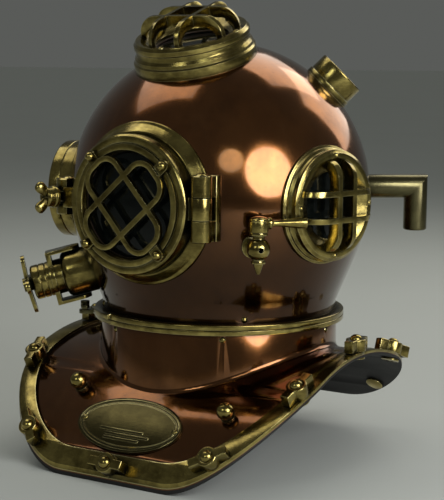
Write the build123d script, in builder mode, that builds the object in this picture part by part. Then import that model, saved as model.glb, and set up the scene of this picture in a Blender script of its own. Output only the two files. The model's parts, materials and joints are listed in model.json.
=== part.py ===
from build123d import *
from math import asin, cos, degrees, hypot, radians, sin, sqrt
import os

# A brass and copper diving helmet: a bonnet that turns an eighth of a turn on its breastplate.
# All lengths are millimetres. The origin is on the neck's axis, on the joint between the two
# neck rings. The face looks along -Y, the diver's left is +X and +Z is up.

# Bonnet shell
dome_radius = 150
dome_height = 120
shell_wall = 2.4
taper_drop = 58
neck_radius = 118

# Breastplate shell: a sheet bent about a line along X, under a drum-shaped neck
saddle_radius = 213
saddle_axis_drop = 240.5
plate_width = 334.6
plate_front = 184.9
plate_back = 165.3
plate_corner = 110
collar_radius = 119
neck_fold = 6
cut_overrun = 5

# Neck rings with their interrupted thread
ring_radius = 126
ring_height = 4.8
joint_gap = 0.2
ring_edge = 0.8
collar_cover = 3
skirt_depth = 16
spigot_radius = 111
spigot_wall = 4
spigot_depth = 14
thread_clearance = 0.3
thread_depth = 3
thread_step = 3.5
thread_top = 6.5
thread_count = 4
thread_sweep = 40
inner_flange_height = 12
bonnet_flange_wall = 3.4
gasket_width = 5.4
gasket_thickness = 1.4
gasket_clearance = 0.2

# Neck rivets
rivet_radius = 2
rivet_head_radius = 3.2
rivet_head_height = 1.6
bonnet_rivet_height = 9
collar_rivet_drop = 10
bonnet_rivet_count = 4
bonnet_rivet_angle = 45
collar_rivet_count = 6
collar_rivet_angle = 35

# Bonnet stop segment and the safety latch beside it
stop_start = -49
stop_end = -24
stop_thickness = 3.2
latch_angle = -56
latch_radius = 136.2
latch_post_radius = 2.5
latch_head_radius = 4.5
latch_head_height = 3.2
latch_base_thickness = 4
latch_base_width = 12
pawl_clearance = 0.3
pawl_height = 4
pawl_reach = 9.3
pawl_width = 5.4
pin_clearance = 0.05

# Rim: studs, straps and wing nuts
stud_line_inset = 9.3
stud_side_inset = 12.8
stud_side_drop = 84.5
stud_shoulder_inset = 63.3
stud_shoulder_drop = 18.3
stud_end_drop = 5.8
stud_radius = 6.2
stud_height = 18.6
stud_dome = 5.6
stud_head_radius = 9
stud_head_thickness = 2
stud_clearance = 0.3
strap_thickness = 2.6
strap_side_width = 17.6
strap_front_width = 10.5
strap_back_width = 12.8
strap_corner_step = 10
strap_seam = 0.4
nut_radius = 9.8
nut_height = 11.5
nut_wing_span = 37
nut_wing_thickness = 9
nut_edge = 0.6
nut_turns = [-1, 32, 80, 96, 64, 110, 12, 70, 118, 88, -76, -51]

# Ball studs for the lanyards
left_ball_reach = 98.6
left_ball_angle = 38.5
right_ball_reach = 78
right_ball_angle = 36.1
ball_radius = 8.3
ball_lift = 9.5
ball_stem_radius = 4
ball_collar_radius = 6.5
ball_collar_height = 2.2

# Nameplate, left bare
nameplate_angle = 45.3
nameplate_width = 117
nameplate_height = 58
nameplate_thickness = 1.6
nameplate_border = 2.6
nameplate_border_height = 1
nameplate_screw_reach = 52.4
nameplate_screw_radius = 3
nameplate_screw_shank = 1.5
nameplate_screw_head = 1.8

# Door seat on the front of the dome, door ring and what it clamps
door_height = 118
seat_base_radius = 76.5
seat_lip_radius = 74.5
seat_lip_level = 132
seat_face_level = 141
seat_face_radius = 67
seat_bore_radius = 56
seat_spigot_wall = 4
seat_spigot_end = 133
seat_groove_radius = 59
seat_groove_width = 5.5
seat_groove_depth = 1.6
seat_gasket_thickness = 1.7
door_gap = 0.4
door_radius = 65.5
door_face_level = 157.6
door_inner_face_level = 159.5
door_inner_ring_radius = 57
door_step_groove = 1.2
door_bevel_level = 155
door_opening_radius = 49
door_bevel_width = 2.4
door_edge_round = 1.6
door_pocket_radius = 56
door_pocket_level = 153
door_gasket_thickness = 1.5
door_glass_thickness = 6
glass_clearance = 0.3
retainer_clearance = 0.4
door_guard_bar = 5
door_guard_loop_width = 39.6
door_guard_loop_length = 95
door_guard_loop_corner = 15
door_guard_turn = -3.5
door_guard_tab_width = 11
door_screw_circle = 58
door_screw_radius = 4.4
door_screw_lift = 1.2
door_screw_shank = 2
door_screw_depth = 9

# Door hinge on the diver's left of the seat
hinge_reach = 75
hinge_level = 145
hinge_radius = 9.8
hinge_knuckle = 20
hinge_knuckle_gap = 0.3
hinge_pin_radius = 4
hinge_pin_head_radius = 6
hinge_pin_head_height = 2.6
hinge_leaf_thickness = 6
hinge_leaf_reach = 95

# Swing bolt on the diver's right of the seat, resting just outside the door's lug
lock_height = 121
lock_reach = 82
lock_level = 141
lock_lean = 16
lock_pin_radius = 3.5
lock_pin_head_radius = 5
lock_pin_head_height = 2
lock_eye_radius = 5.8
lock_eye_width = 10
lock_eye_clearance = 0.3
lock_ear_radius = 11
lock_ear_thickness = 12
lock_ear_base = 10
bolt_radius = 4
bolt_length = 24
nut_seat_length = 15.5
lock_nut_collar_radius = 10.5
lock_nut_collar = 4
lock_nut_boss_radius = 7.4
lock_nut_length = 11.5
lock_ear_bar_radius = 4.2
lock_nut_ear_lean = 40
lock_nut_ear_length = 19
door_lug_clearance = 0.6
door_lug_half_height = 9.5

# Round windows with caged openings
side_window_angle = 76.9
side_window_height = 117.7
side_base_radius = 56
side_base_level = 141.5
side_rim_radius = 49.4
side_rim_level = 157
side_rim_width = 4.8
side_opening_radius = 32
side_dish_level = 150
side_guard_level = 172
side_guard_radius = 44
side_guard_across = 10
side_guard_up = 12.4
side_guard_bar = 5
side_guard_depth = 12
side_guard_round = 17
top_window_tilt = 71.1
top_base_radius = 60
top_base_level = 144.5
top_rim_radius = 54.5
top_rim_level = 168
top_rim_width = 4.6
top_opening_radius = 36
top_dish_level = 161
top_guard_level = 188.5
top_guard_radius = 50
top_guard_across = 15
top_guard_up = 15
top_guard_bar = 4
top_guard_depth = 11
top_guard_round = 19
window_glass_thickness = 5
window_glass_lap = 6
window_gasket_thickness = 1.5
window_dish_wall = 3
window_spigot_wall = 4
window_retainer_thickness = 4
window_screw_radius = 2.6
window_screw_height = 1.6
window_screw_shank = 1.3
window_screw_depth = 5

# Exhaust valve low on the diver's right front
exhaust_angle = -52
exhaust_slope = -15
exhaust_root = 124
exhaust_root_height = 44.5
exhaust_body_radius = 20
exhaust_body_length = 34
exhaust_body_round = 6
exhaust_bore_radius = 13
exhaust_port_wall = 3
exhaust_chamber_depth = 11
exhaust_cap_radius = 15
exhaust_cap_length = 27
exhaust_cap_spigot = 6
exhaust_cap_wall = 3
exhaust_seam = 0.7
exhaust_seam_lift = 6
exhaust_yoke_start = 42
exhaust_yoke_thickness = 4.6
exhaust_yoke_half = 27
exhaust_yoke_width = 24
exhaust_arm_thickness = 3.2
exhaust_arm_length = 30
exhaust_stem_radius = 3
exhaust_wheel_level = 70
exhaust_wheel_radius = 29.5
exhaust_wheel_thickness = 3.6
exhaust_wheel_dish = 2
exhaust_hub_radius = 7
exhaust_hub_rise = 2
exhaust_stem_grip = 5
exhaust_prong_width = 13
exhaust_disc_thickness = 3
exhaust_disc_lift = 3
exhaust_disc_gap = 0.3
clamp_round_share = 0.4
exhaust_port_radius = 9

# Spit cock on the diver's left front
cock_angle = 45.5
cock_reach = 166
cock_height = 82
cock_ball_radius = 10.75
cock_stem_radius = 5.5
cock_flange_radius = 11
cock_flange_rise = 2
cock_bore_radius = 2.5
cock_plug_radius = 4
cock_plug_drop = 6
cock_neck_radius = 5.5
cock_ring_radius = 8.2
cock_ring_height = 2.2
cock_body_top = 97
cock_barrel_radius = 9
cock_barrel_height = 11.5
cock_cap_radius = 8.3
cock_cap_height = 3
cock_finial_radius = 5
cock_finial_tip = 1.6
cock_finial_height = 12
finial_ring_share = 0.8
cock_lever_height = 107
cock_lever_flare = 5.4
cock_lever_rod = 2.4
cock_lever_grip = 3.6
cock_lever_reach = 45
lever_grip_share = 0.62
lever_taper_share = 0.1

# Air inlet elbow at the back
inlet_angle = 132
inlet_height = 125
inlet_radius = 12
inlet_bore_radius = 8
inlet_socket_radius = 9.5
inlet_socket_depth = 30
inlet_reach = 203
inlet_drop = 45
inlet_end_round = 2.2
inlet_valve_setback = 31
inlet_valve_thickness = 4
inlet_valve_port = 4.6
inlet_disc_thickness = 1.6
inlet_disc_clearance = 0.6

# Telephone stub and its blanking cap at the back
stub_angle = 120
stub_elevation = 45
stub_radius = 21
stub_wall = 4
stub_level = 162
stub_flange_radius = 26
stub_flange_level = 153
cap_radius = 25
cap_end = 170.5
cap_edge = 1.6
stub_gasket_thickness = 1.8
stub_plug_thickness = 5

os.makedirs("parts", exist_ok=True)


def save(piece, name):
    piece.part.label = name
    export_step(piece.part, f"parts/{name}.step")


def around_neck(angle, reach, height):
    """A plane that faces outward from the neck's axis, angle counted from the face to +X."""
    turn = radians(angle)
    out = Vector(sin(turn), -cos(turn), 0)
    return Plane(
        origin=(out.X * reach, out.Y * reach, height),
        x_dir=(cos(turn), sin(turn), 0),
        z_dir=(out.X, out.Y, 0),
    )


def on_saddle(across, angle, lift=0):
    """A plane on the sheet's outer face, angle counted from the top towards the front (-Y)."""
    turn = radians(angle)
    reach = saddle_radius + lift
    return Plane(
        origin=(across, -reach * sin(turn), reach * cos(turn) - saddle_axis_drop),
        x_dir=(1, 0, 0),
        z_dir=(0, -sin(turn), cos(turn)),
    )


def profile_on(plane):
    """A plane through another plane's normal: X stays, Y runs out along the normal."""
    return Plane(origin=plane.origin, x_dir=plane.x_dir, z_dir=-plane.y_dir)


def round_head(plane, radius, height):
    """A domed head that stands on a plane."""
    with BuildPart() as head:
        with BuildSketch(profile_on(plane)):
            with BuildLine():
                TangentArc((0, height), (radius, 0), tangent=(1, 0))
                Line((radius, 0), (0, 0))
                Line((0, 0), (0, height))
            make_face()
        revolve(axis=Axis(plane.origin, plane.z_dir))
    return head.part


def upright(angle, origin=(0, 0, 0)):
    """A plane through an upright axis: X runs outward at the angle, Y runs up."""
    turn = radians(angle)
    return Plane(origin=origin, x_dir=(sin(turn), -cos(turn), 0), z_dir=(-cos(turn), -sin(turn), 0))


saddle_axis = Plane(origin=(0, 0, -saddle_axis_drop), x_dir=(0, 1, 0), z_dir=(1, 0, 0))


def plate_outline(side, front, back, corner):
    """The breastplate's outline in plan, drawn in at its sides, front and back."""
    length = plate_front + plate_back - front - back
    with BuildSketch() as outline:
        with Locations((0, plate_back - back - length / 2)):
            RectangleRounded(plate_width - 2 * side, length, corner)
    return outline.sketch


def saddle_form(inset, margin):
    """The breastplate as a filled form, drawn in by inset and longer at its edges by margin."""
    with BuildPart() as form:
        with BuildSketch(Plane.XY.offset(-saddle_axis_drop - margin)):
            add(plate_outline(-margin, -margin, -margin, plate_corner + margin))
        extrude(amount=saddle_axis_drop + margin)
        with BuildSketch(saddle_axis.offset(-plate_width)):
            Circle(saddle_radius - inset)
        extrude(amount=2 * plate_width, mode=Mode.INTERSECT)
        with BuildSketch(Plane.XY.offset(-saddle_axis_drop)):
            Circle(collar_radius - inset)
        extrude(amount=saddle_axis_drop - collar_cover + margin)
        fold = form.edges().filter_by(
            lambda edge: edge.geom_type not in (GeomType.LINE, GeomType.CIRCLE)
            and abs(hypot(edge.position_at(0).X, edge.position_at(0).Y) - collar_radius + inset)
            < joint_gap
        )
        fillet(fold, neck_fold + inset)
    return form.part


def stud_places():
    """Twelve places on the rim, from the front round by the diver's left."""
    half = plate_width / 2
    reaches = [0, half - stud_shoulder_inset, half - stud_side_inset, half - stud_line_inset]
    drops = [stud_end_drop, stud_shoulder_drop, stud_side_drop]
    front_left = list(zip(reaches, [plate_front - drop for drop in drops] + [0]))
    back_left = list(zip(reaches[:3], [drop - plate_back for drop in drops]))
    left = front_left + back_left[::-1]
    right = [(-across, ahead) for across, ahead in reversed(left[1:6])]
    return [
        on_saddle(across, degrees(asin(ahead / saddle_radius))) for across, ahead in left + right
    ]


stud_planes = stud_places()
collar_rivet_planes = [
    around_neck(collar_rivet_angle + step * 360 / collar_rivet_count, 0, -collar_rivet_drop)
    for step in range(collar_rivet_count)
]
bonnet_rivet_planes = [
    around_neck(bonnet_rivet_angle + step * 360 / bonnet_rivet_count, 0, bonnet_rivet_height)
    for step in range(bonnet_rivet_count)
]

# Breastplate shell
with BuildPart() as breastplate_shell:
    add(saddle_form(0, 0))
    add(saddle_form(shell_wall, cut_overrun), mode=Mode.SUBTRACT)
    for plane in stud_planes:
        with BuildSketch(plane.offset(-shell_wall - cut_overrun)):
            Circle(stud_radius + stud_clearance)
        extrude(amount=shell_wall + 2 * cut_overrun, mode=Mode.SUBTRACT)
    for plane in collar_rivet_planes:
        with BuildSketch(plane):
            Circle(rivet_radius)
        extrude(amount=collar_radius + cut_overrun, mode=Mode.SUBTRACT)
save(breastplate_shell, "breastplate_shell")

# Breastplate neck ring, with the female half of the thread inside its skirt
collar_inner_radius = collar_radius - shell_wall
skirt_inner_radius = spigot_radius + thread_depth + thread_clearance
with BuildPart() as breastplate_neck_ring:
    with BuildSketch(Plane.XZ):
        with BuildLine():
            Polyline(
                (skirt_inner_radius, -gasket_thickness),
                (skirt_inner_radius + gasket_width, -gasket_thickness),
                (skirt_inner_radius + gasket_width, 0),
                (ring_radius - ring_edge, 0),
                (ring_radius, -ring_edge),
                (ring_radius, -ring_height),
                (collar_radius, -ring_height),
                (collar_radius, -collar_cover),
                (collar_inner_radius, -collar_cover),
                (collar_inner_radius, -skirt_depth),
                (skirt_inner_radius, -skirt_depth),
                close=True,
            )
        make_face()
    revolve(axis=Axis.Z)
    for step in range(thread_count):
        with BuildSketch(upright(step * 360 / thread_count - thread_sweep / 2)):
            with BuildLine():
                Polyline(
                    (spigot_radius + thread_clearance, -thread_top),
                    (collar_inner_radius, -thread_top),
                    (collar_inner_radius, -thread_top - thread_step),
                    (spigot_radius + thread_clearance, -thread_top - thread_step),
                    close=True,
                )
            make_face()
        revolve(axis=Axis.Z, revolution_arc=thread_sweep)
    for plane in collar_rivet_planes:
        with BuildSketch(plane):
            Circle(rivet_radius)
        extrude(amount=collar_radius, mode=Mode.SUBTRACT)
save(breastplate_neck_ring, "breastplate_neck_ring")

# Leather gasket lying in the breastplate ring
with BuildPart() as neck_gasket:
    with BuildSketch(Plane.XY.offset(-gasket_thickness)):
        Circle(skirt_inner_radius + gasket_width - gasket_clearance)
        Circle(skirt_inner_radius + gasket_clearance, mode=Mode.SUBTRACT)
    extrude(amount=gasket_thickness)
save(neck_gasket, "neck_gasket")


def rivets(planes, seat_radius, inner_radius):
    """Round-headed rivets through a drum of the seat radius, flush with the flange inside it."""
    with BuildPart() as group:
        for plane in planes:
            with BuildSketch(plane.offset(inner_radius)):
                Circle(rivet_radius)
            extrude(amount=seat_radius - inner_radius)
            add(round_head(plane.offset(seat_radius), rivet_head_radius, rivet_head_height))
    return group


collar_rivets = rivets(collar_rivet_planes, collar_radius, skirt_inner_radius)
save(collar_rivets, "collar_rivets")

# Rim straps in four quarters, their seams at the shoulders and at the middle, front and back
strap_level = -saddle_axis_drop
strap_inside = plate_outline(
    strap_side_width, strap_front_width, strap_back_width, plate_corner - strap_corner_step
)
quarters = {
    "front_left": (1, -1),
    "front_right": (-1, -1),
    "back_left": (1, 1),
    "back_right": (-1, 1),
}
for quarter, (side, end) in quarters.items():
    with BuildPart() as rim_strap:
        with BuildSketch(Plane.XY.offset(strap_level)):
            add(plate_outline(0, 0, 0, plate_corner))
            add(strap_inside, mode=Mode.SUBTRACT)
        extrude(amount=saddle_axis_drop)
        with BuildSketch(saddle_axis.offset(-plate_width)):
            Circle(saddle_radius + strap_thickness)
            Circle(saddle_radius, mode=Mode.SUBTRACT)
        extrude(amount=2 * plate_width, mode=Mode.INTERSECT)
        with BuildSketch(Plane.XY.offset(strap_level)):
            with Locations((side * (plate_width + strap_seam) / 2, end * (plate_width + strap_seam) / 2)):
                Rectangle(plate_width, plate_width)
        extrude(amount=saddle_axis_drop, mode=Mode.INTERSECT)
        for plane in stud_planes:
            with BuildSketch(plane.offset(-cut_overrun)):
                Circle(stud_radius + stud_clearance)
            extrude(amount=strap_thickness + 2 * cut_overrun, mode=Mode.SUBTRACT)
    save(rim_strap, f"rim_strap_{quarter}")

# Rim studs: a head under the sheet, a shank through sheet and strap, a domed end
with BuildPart() as rim_studs:
    for plane in stud_planes:
        with BuildSketch(plane.offset(-shell_wall - stud_head_thickness - stud_clearance)):
            Circle(stud_head_radius)
        extrude(amount=stud_head_thickness)
        with BuildSketch(plane.offset(-shell_wall - stud_head_thickness - stud_clearance)):
            Circle(stud_radius)
        extrude(amount=shell_wall + stud_head_thickness + stud_clearance + stud_height)
    tips = [
        edge
        for edge in rim_studs.edges().filter_by(GeomType.CIRCLE)
        if abs(edge.radius - stud_radius) < stud_clearance
        and sqrt(edge.arc_center.Y**2 + (edge.arc_center.Z + saddle_axis_drop) ** 2)
        > saddle_radius + stud_dome
    ]
    fillet(tips, stud_dome)
save(rim_studs, "rim_studs")

# Wing nuts on the studs: a round middle between two squared wings of the same height
nut_seat = strap_thickness + stud_clearance
with BuildPart() as rim_wing_nuts:
    for plane, turn in zip(stud_planes, nut_turns):
        with BuildPart(mode=Mode.PRIVATE) as nut:
            with BuildSketch(plane.offset(nut_seat)):
                Circle(nut_radius)
                Rectangle(nut_wing_span, nut_wing_thickness, rotation=turn)
            extrude(amount=nut_height)
            chamfer(nut.faces().sort_by(Axis(plane.origin, plane.z_dir))[-1].edges(), nut_edge)
            with BuildSketch(plane.offset(nut_seat)):
                Circle(stud_radius + pin_clearance)
            extrude(amount=nut_height, mode=Mode.SUBTRACT)
        add(nut.part)
save(rim_wing_nuts, "rim_wing_nuts")

# Ball studs that the lanyards loop over
ball_planes = [
    on_saddle(left_ball_reach, left_ball_angle),
    on_saddle(-right_ball_reach, right_ball_angle),
]
with BuildPart() as lanyard_studs:
    for plane in ball_planes:
        with BuildSketch(plane):
            Circle(ball_collar_radius)
        extrude(amount=ball_collar_height)
        with BuildSketch(plane):
            Circle(ball_stem_radius)
        extrude(amount=ball_lift)
        with Locations(plane.offset(ball_lift)):
            Sphere(ball_radius)
    with BuildSketch(saddle_axis.offset(-plate_width)):
        Circle(saddle_radius)
    extrude(amount=2 * plate_width, mode=Mode.SUBTRACT)
save(lanyard_studs, "lanyard_studs")

# Nameplate with a raised border and two round-headed screws
nameplate_plane = on_saddle(0, nameplate_angle)
screw_planes = [
    on_saddle(side * nameplate_screw_reach, nameplate_angle, nameplate_thickness) for side in (1, -1)
]
with BuildPart() as nameplate:
    with BuildSketch(nameplate_plane.offset(-nameplate_height)):
        Ellipse(nameplate_width / 2, nameplate_height / 2)
    extrude(amount=2 * nameplate_height)
    with BuildSketch(saddle_axis.offset(-plate_width)):
        Circle(saddle_radius + nameplate_thickness + nameplate_border_height)
        Circle(saddle_radius, mode=Mode.SUBTRACT)
    extrude(amount=2 * plate_width, mode=Mode.INTERSECT)
    with BuildSketch(nameplate_plane.offset(-nameplate_height)) as field:
        Ellipse(nameplate_width / 2 - nameplate_border, nameplate_height / 2 - nameplate_border)
    with BuildPart(mode=Mode.PRIVATE) as recess:
        extrude(field.sketch, amount=2 * nameplate_height)
        with BuildSketch(saddle_axis.offset(-plate_width)):
            Circle(saddle_radius + nameplate_thickness)
        extrude(amount=2 * plate_width, mode=Mode.SUBTRACT)
    add(recess.part, mode=Mode.SUBTRACT)
    for plane in screw_planes:
        with BuildSketch(plane.offset(-nameplate_thickness - cut_overrun)):
            Circle(nameplate_screw_shank)
        extrude(amount=nameplate_thickness + 2 * cut_overrun, mode=Mode.SUBTRACT)
save(nameplate, "nameplate")

with BuildPart() as nameplate_screws:
    for plane in screw_planes:
        with BuildSketch(plane.offset(-nameplate_thickness)):
            Circle(nameplate_screw_shank)
        extrude(amount=nameplate_thickness)
        add(round_head(plane, nameplate_screw_radius, nameplate_screw_head))
save(nameplate_screws, "nameplate_screws")

# Safety latch: a post on the breastplate ring and a pawl that swings in beside the stop segment
latch_turn = upright(latch_angle)
post_place = latch_turn.from_local_coords((latch_radius, 0, 0))
with BuildPart() as latch_post:
    with BuildSketch(Plane.XY.offset(-ring_height)):
        with Locations(post_place):
            Circle(latch_base_width / 2)
        with Locations(Location((0, 0, 0), (0, 0, latch_angle - 90))):
            with Locations(((latch_radius + neck_radius) / 2, 0)):
                Rectangle(latch_radius - neck_radius, latch_base_width)
    extrude(amount=latch_base_thickness)
    with BuildSketch(Plane.XY.offset(-ring_height)):
        Circle(ring_radius)
    extrude(amount=ring_height, mode=Mode.SUBTRACT)
    pawl_level = joint_gap + pawl_clearance
    with BuildSketch(Plane.XY.offset(-ring_height)):
        with Locations(post_place):
            Circle(latch_post_radius)
    extrude(amount=ring_height + pawl_level + pawl_height + pawl_clearance)
    with BuildSketch(Plane.XY.offset(pawl_level + pawl_height + pawl_clearance)):
        with Locations(post_place):
            Circle(latch_head_radius)
    extrude(amount=latch_head_height)
save(latch_post, "latch_post")

with BuildPart() as latch_pawl:
    with BuildSketch(Plane.XY.offset(pawl_level)):
        with Locations(post_place):
            Circle(latch_head_radius)
        with Locations(Location(post_place, (0, 0, latch_angle))):
            with Locations((pawl_reach / 2, 0)):
                Rectangle(pawl_reach, pawl_width)
        with Locations(post_place):
            Circle(latch_post_radius + pin_clearance, mode=Mode.SUBTRACT)
    extrude(amount=pawl_height)
save(latch_pawl, "latch_pawl")


def on_dome(angle, elevation, height=dome_height):
    """A plane at the dome's axis whose normal runs out through the dome; Y runs up."""
    turn = radians(angle)
    rise = radians(elevation)
    return Plane(
        origin=(0, 0, height),
        x_dir=(cos(turn), sin(turn), 0),
        z_dir=(cos(rise) * sin(turn), -cos(rise) * cos(turn), sin(rise)),
    )


def turned(plane, outline):
    """An outline of (radius, level) points turned round a plane's normal."""
    with BuildPart() as form:
        with BuildSketch(profile_on(plane)):
            with BuildLine():
                Polyline(*outline, close=True)
            make_face()
        revolve(axis=Axis(plane.origin, plane.z_dir))
    return form.part


def ring(plane, outer, inner, start, end):
    """A plain ring between two levels along a plane's normal; a disc where inner is 0."""
    with BuildPart() as form:
        with BuildSketch(plane.offset(start)):
            Circle(outer)
            if inner > 0:
                Circle(inner, mode=Mode.SUBTRACT)
        extrude(amount=end - start)
    return form.part


def under_dome(radius):
    """A level along a fitting's axis that is inside the dome all over the radius."""
    return sqrt(dome_radius**2 - radius**2) - cut_overrun


door_plane = on_dome(0, 0, door_height)
windows = {
    "left": on_dome(side_window_angle, 0, side_window_height),
    "right": on_dome(-side_window_angle, 0, side_window_height),
    "top": on_dome(0, top_window_tilt),
}
exhaust_plane = Plane(
    origin=around_neck(exhaust_angle, exhaust_root, exhaust_root_height).origin,
    x_dir=around_neck(exhaust_angle, 0, 0).x_dir,
    z_dir=on_dome(exhaust_angle, exhaust_slope).z_dir,
)
cock_plane = on_dome(cock_angle, 0, cock_height)
inlet_plane = on_dome(inlet_angle, 0, inlet_height)
stub_plane = on_dome(stub_angle, stub_elevation)

side_spigot_radius = side_opening_radius + window_glass_lap + window_spigot_wall
top_spigot_radius = top_opening_radius + window_glass_lap + window_spigot_wall
dome_holes = [
    (door_plane, seat_bore_radius + seat_spigot_wall),
    (windows["left"], side_spigot_radius),
    (windows["right"], side_spigot_radius),
    (windows["top"], top_spigot_radius),
    (exhaust_plane.offset(-exhaust_body_length), exhaust_bore_radius),
    (cock_plane, cock_stem_radius),
    (inlet_plane, inlet_radius),
    (stub_plane, stub_radius),
]
bonnet_foot = joint_gap + collar_cover


def bonnet_form(inset, foot):
    """The bonnet as a filled form, drawn in by inset, its neck cut off at the foot."""
    slope = asin(taper_drop / dome_radius)
    ball = dome_radius - inset
    neck = neck_radius - inset
    leave_radius = ball * cos(slope)
    leave_height = dome_height - ball * sin(slope)
    taper_foot = leave_height - (leave_radius - neck) * cos(slope) / sin(slope)
    with BuildPart() as form:
        with BuildSketch(Plane.XZ):
            with BuildLine():
                Polyline((0, foot), (neck, foot), (neck, taper_foot), (leave_radius, leave_height))
                CenterArc((0, dome_height), ball, -degrees(slope), 90 + degrees(slope))
                Line((0, dome_height + ball), (0, foot))
            make_face()
        revolve(axis=Axis.Z)
    return form.part


# Bonnet shell with a hole under each fitting
with BuildPart() as bonnet_shell:
    add(bonnet_form(0, bonnet_foot))
    add(bonnet_form(shell_wall, bonnet_foot), mode=Mode.SUBTRACT)
    for plane, radius in dome_holes:
        with BuildSketch(plane):
            Circle(radius)
        extrude(amount=dome_radius + cut_overrun, mode=Mode.SUBTRACT)
    for plane in bonnet_rivet_planes:
        with BuildSketch(plane):
            Circle(rivet_radius)
        extrude(amount=dome_radius, mode=Mode.SUBTRACT)
save(bonnet_shell, "bonnet_shell")

# Bonnet neck ring: a flange inside the neck, a spigot with the male thread, the stop segment
bonnet_inner_radius = neck_radius - shell_wall
bonnet_flange_radius = bonnet_inner_radius - bonnet_flange_wall
with BuildPart() as bonnet_neck_ring:
    with BuildSketch(Plane.XZ):
        with BuildLine():
            Polyline(
                (spigot_radius - spigot_wall, -spigot_depth),
                (spigot_radius, -spigot_depth),
                (spigot_radius, joint_gap),
                (ring_radius, joint_gap),
                (ring_radius, joint_gap + ring_height - ring_edge),
                (ring_radius - ring_edge, joint_gap + ring_height),
                (neck_radius, joint_gap + ring_height),
                (neck_radius, bonnet_foot),
                (bonnet_inner_radius, bonnet_foot),
                (bonnet_inner_radius, inner_flange_height),
                (bonnet_flange_radius, inner_flange_height),
                (spigot_radius - spigot_wall, bonnet_foot),
                close=True,
            )
        make_face()
    revolve(axis=Axis.Z)
    for step in range(thread_count):
        lug_level = -thread_top - thread_step - thread_clearance
        with BuildSketch(upright(step * 360 / thread_count - thread_sweep / 2)):
            with BuildLine():
                Polyline(
                    (spigot_radius - spigot_wall / 2, lug_level),
                    (spigot_radius + thread_depth, lug_level),
                    (spigot_radius + thread_depth, -spigot_depth),
                    (spigot_radius - spigot_wall / 2, -spigot_depth),
                    close=True,
                )
            make_face()
        revolve(axis=Axis.Z, revolution_arc=thread_sweep)
    with BuildSketch(upright(stop_start)):
        with BuildLine():
            Polyline(
                (neck_radius, joint_gap),
                (ring_radius + stop_thickness, joint_gap),
                (ring_radius + stop_thickness, joint_gap + ring_height),
                (neck_radius, joint_gap + ring_height),
                close=True,
            )
        make_face()
    revolve(axis=Axis.Z, revolution_arc=stop_end - stop_start)
    for plane in bonnet_rivet_planes:
        with BuildSketch(plane):
            Circle(rivet_radius)
        extrude(amount=neck_radius, mode=Mode.SUBTRACT)
save(bonnet_neck_ring, "bonnet_neck_ring")

bonnet_rivets = rivets(bonnet_rivet_planes, neck_radius, bonnet_flange_radius)
save(bonnet_rivets, "bonnet_rivets")

# Door seat: a flange on the dome, two hinge knuckles on a leaf, two ears for the swing bolt
hinge_place = (hinge_reach, -hinge_level)
lock_place = (-lock_reach, -lock_level)
knuckle_half = hinge_knuckle / 2
hinge_half = knuckle_half + hinge_knuckle_gap + hinge_knuckle
ear_inner = lock_eye_width / 2 + lock_eye_clearance
ear_outer = ear_inner + lock_ear_thickness
lean = radians(lock_lean)
lock_turn = Vector(-sin(lean), -cos(lean), 0)
nut_inner_edge = lock_reach + nut_seat_length * sin(lean) - lock_nut_collar_radius * cos(lean)
door_lug_reach = nut_inner_edge - door_lug_clearance
seat_spigot_radius = seat_bore_radius + seat_spigot_wall


def lock_ear_outline():
    """Plan of one ear: round about the pin, with a foot that runs behind the door's lug."""
    foot_front = seat_face_level - door_gap
    with BuildSketch() as outline:
        with Locations(lock_place):
            Circle(lock_ear_radius)
        with Locations((-door_lug_reach - door_lug_clearance, -lock_level)):
            Rectangle(
                lock_ear_radius,
                lock_ear_radius * 2,
                align=(Align.MIN, Align.CENTER),
                mode=Mode.SUBTRACT,
            )
        with Locations((-lock_reach, -foot_front)):
            Rectangle(lock_reach - seat_bore_radius, lock_ear_base, align=(Align.MIN, Align.MIN))
    return outline.sketch


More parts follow.
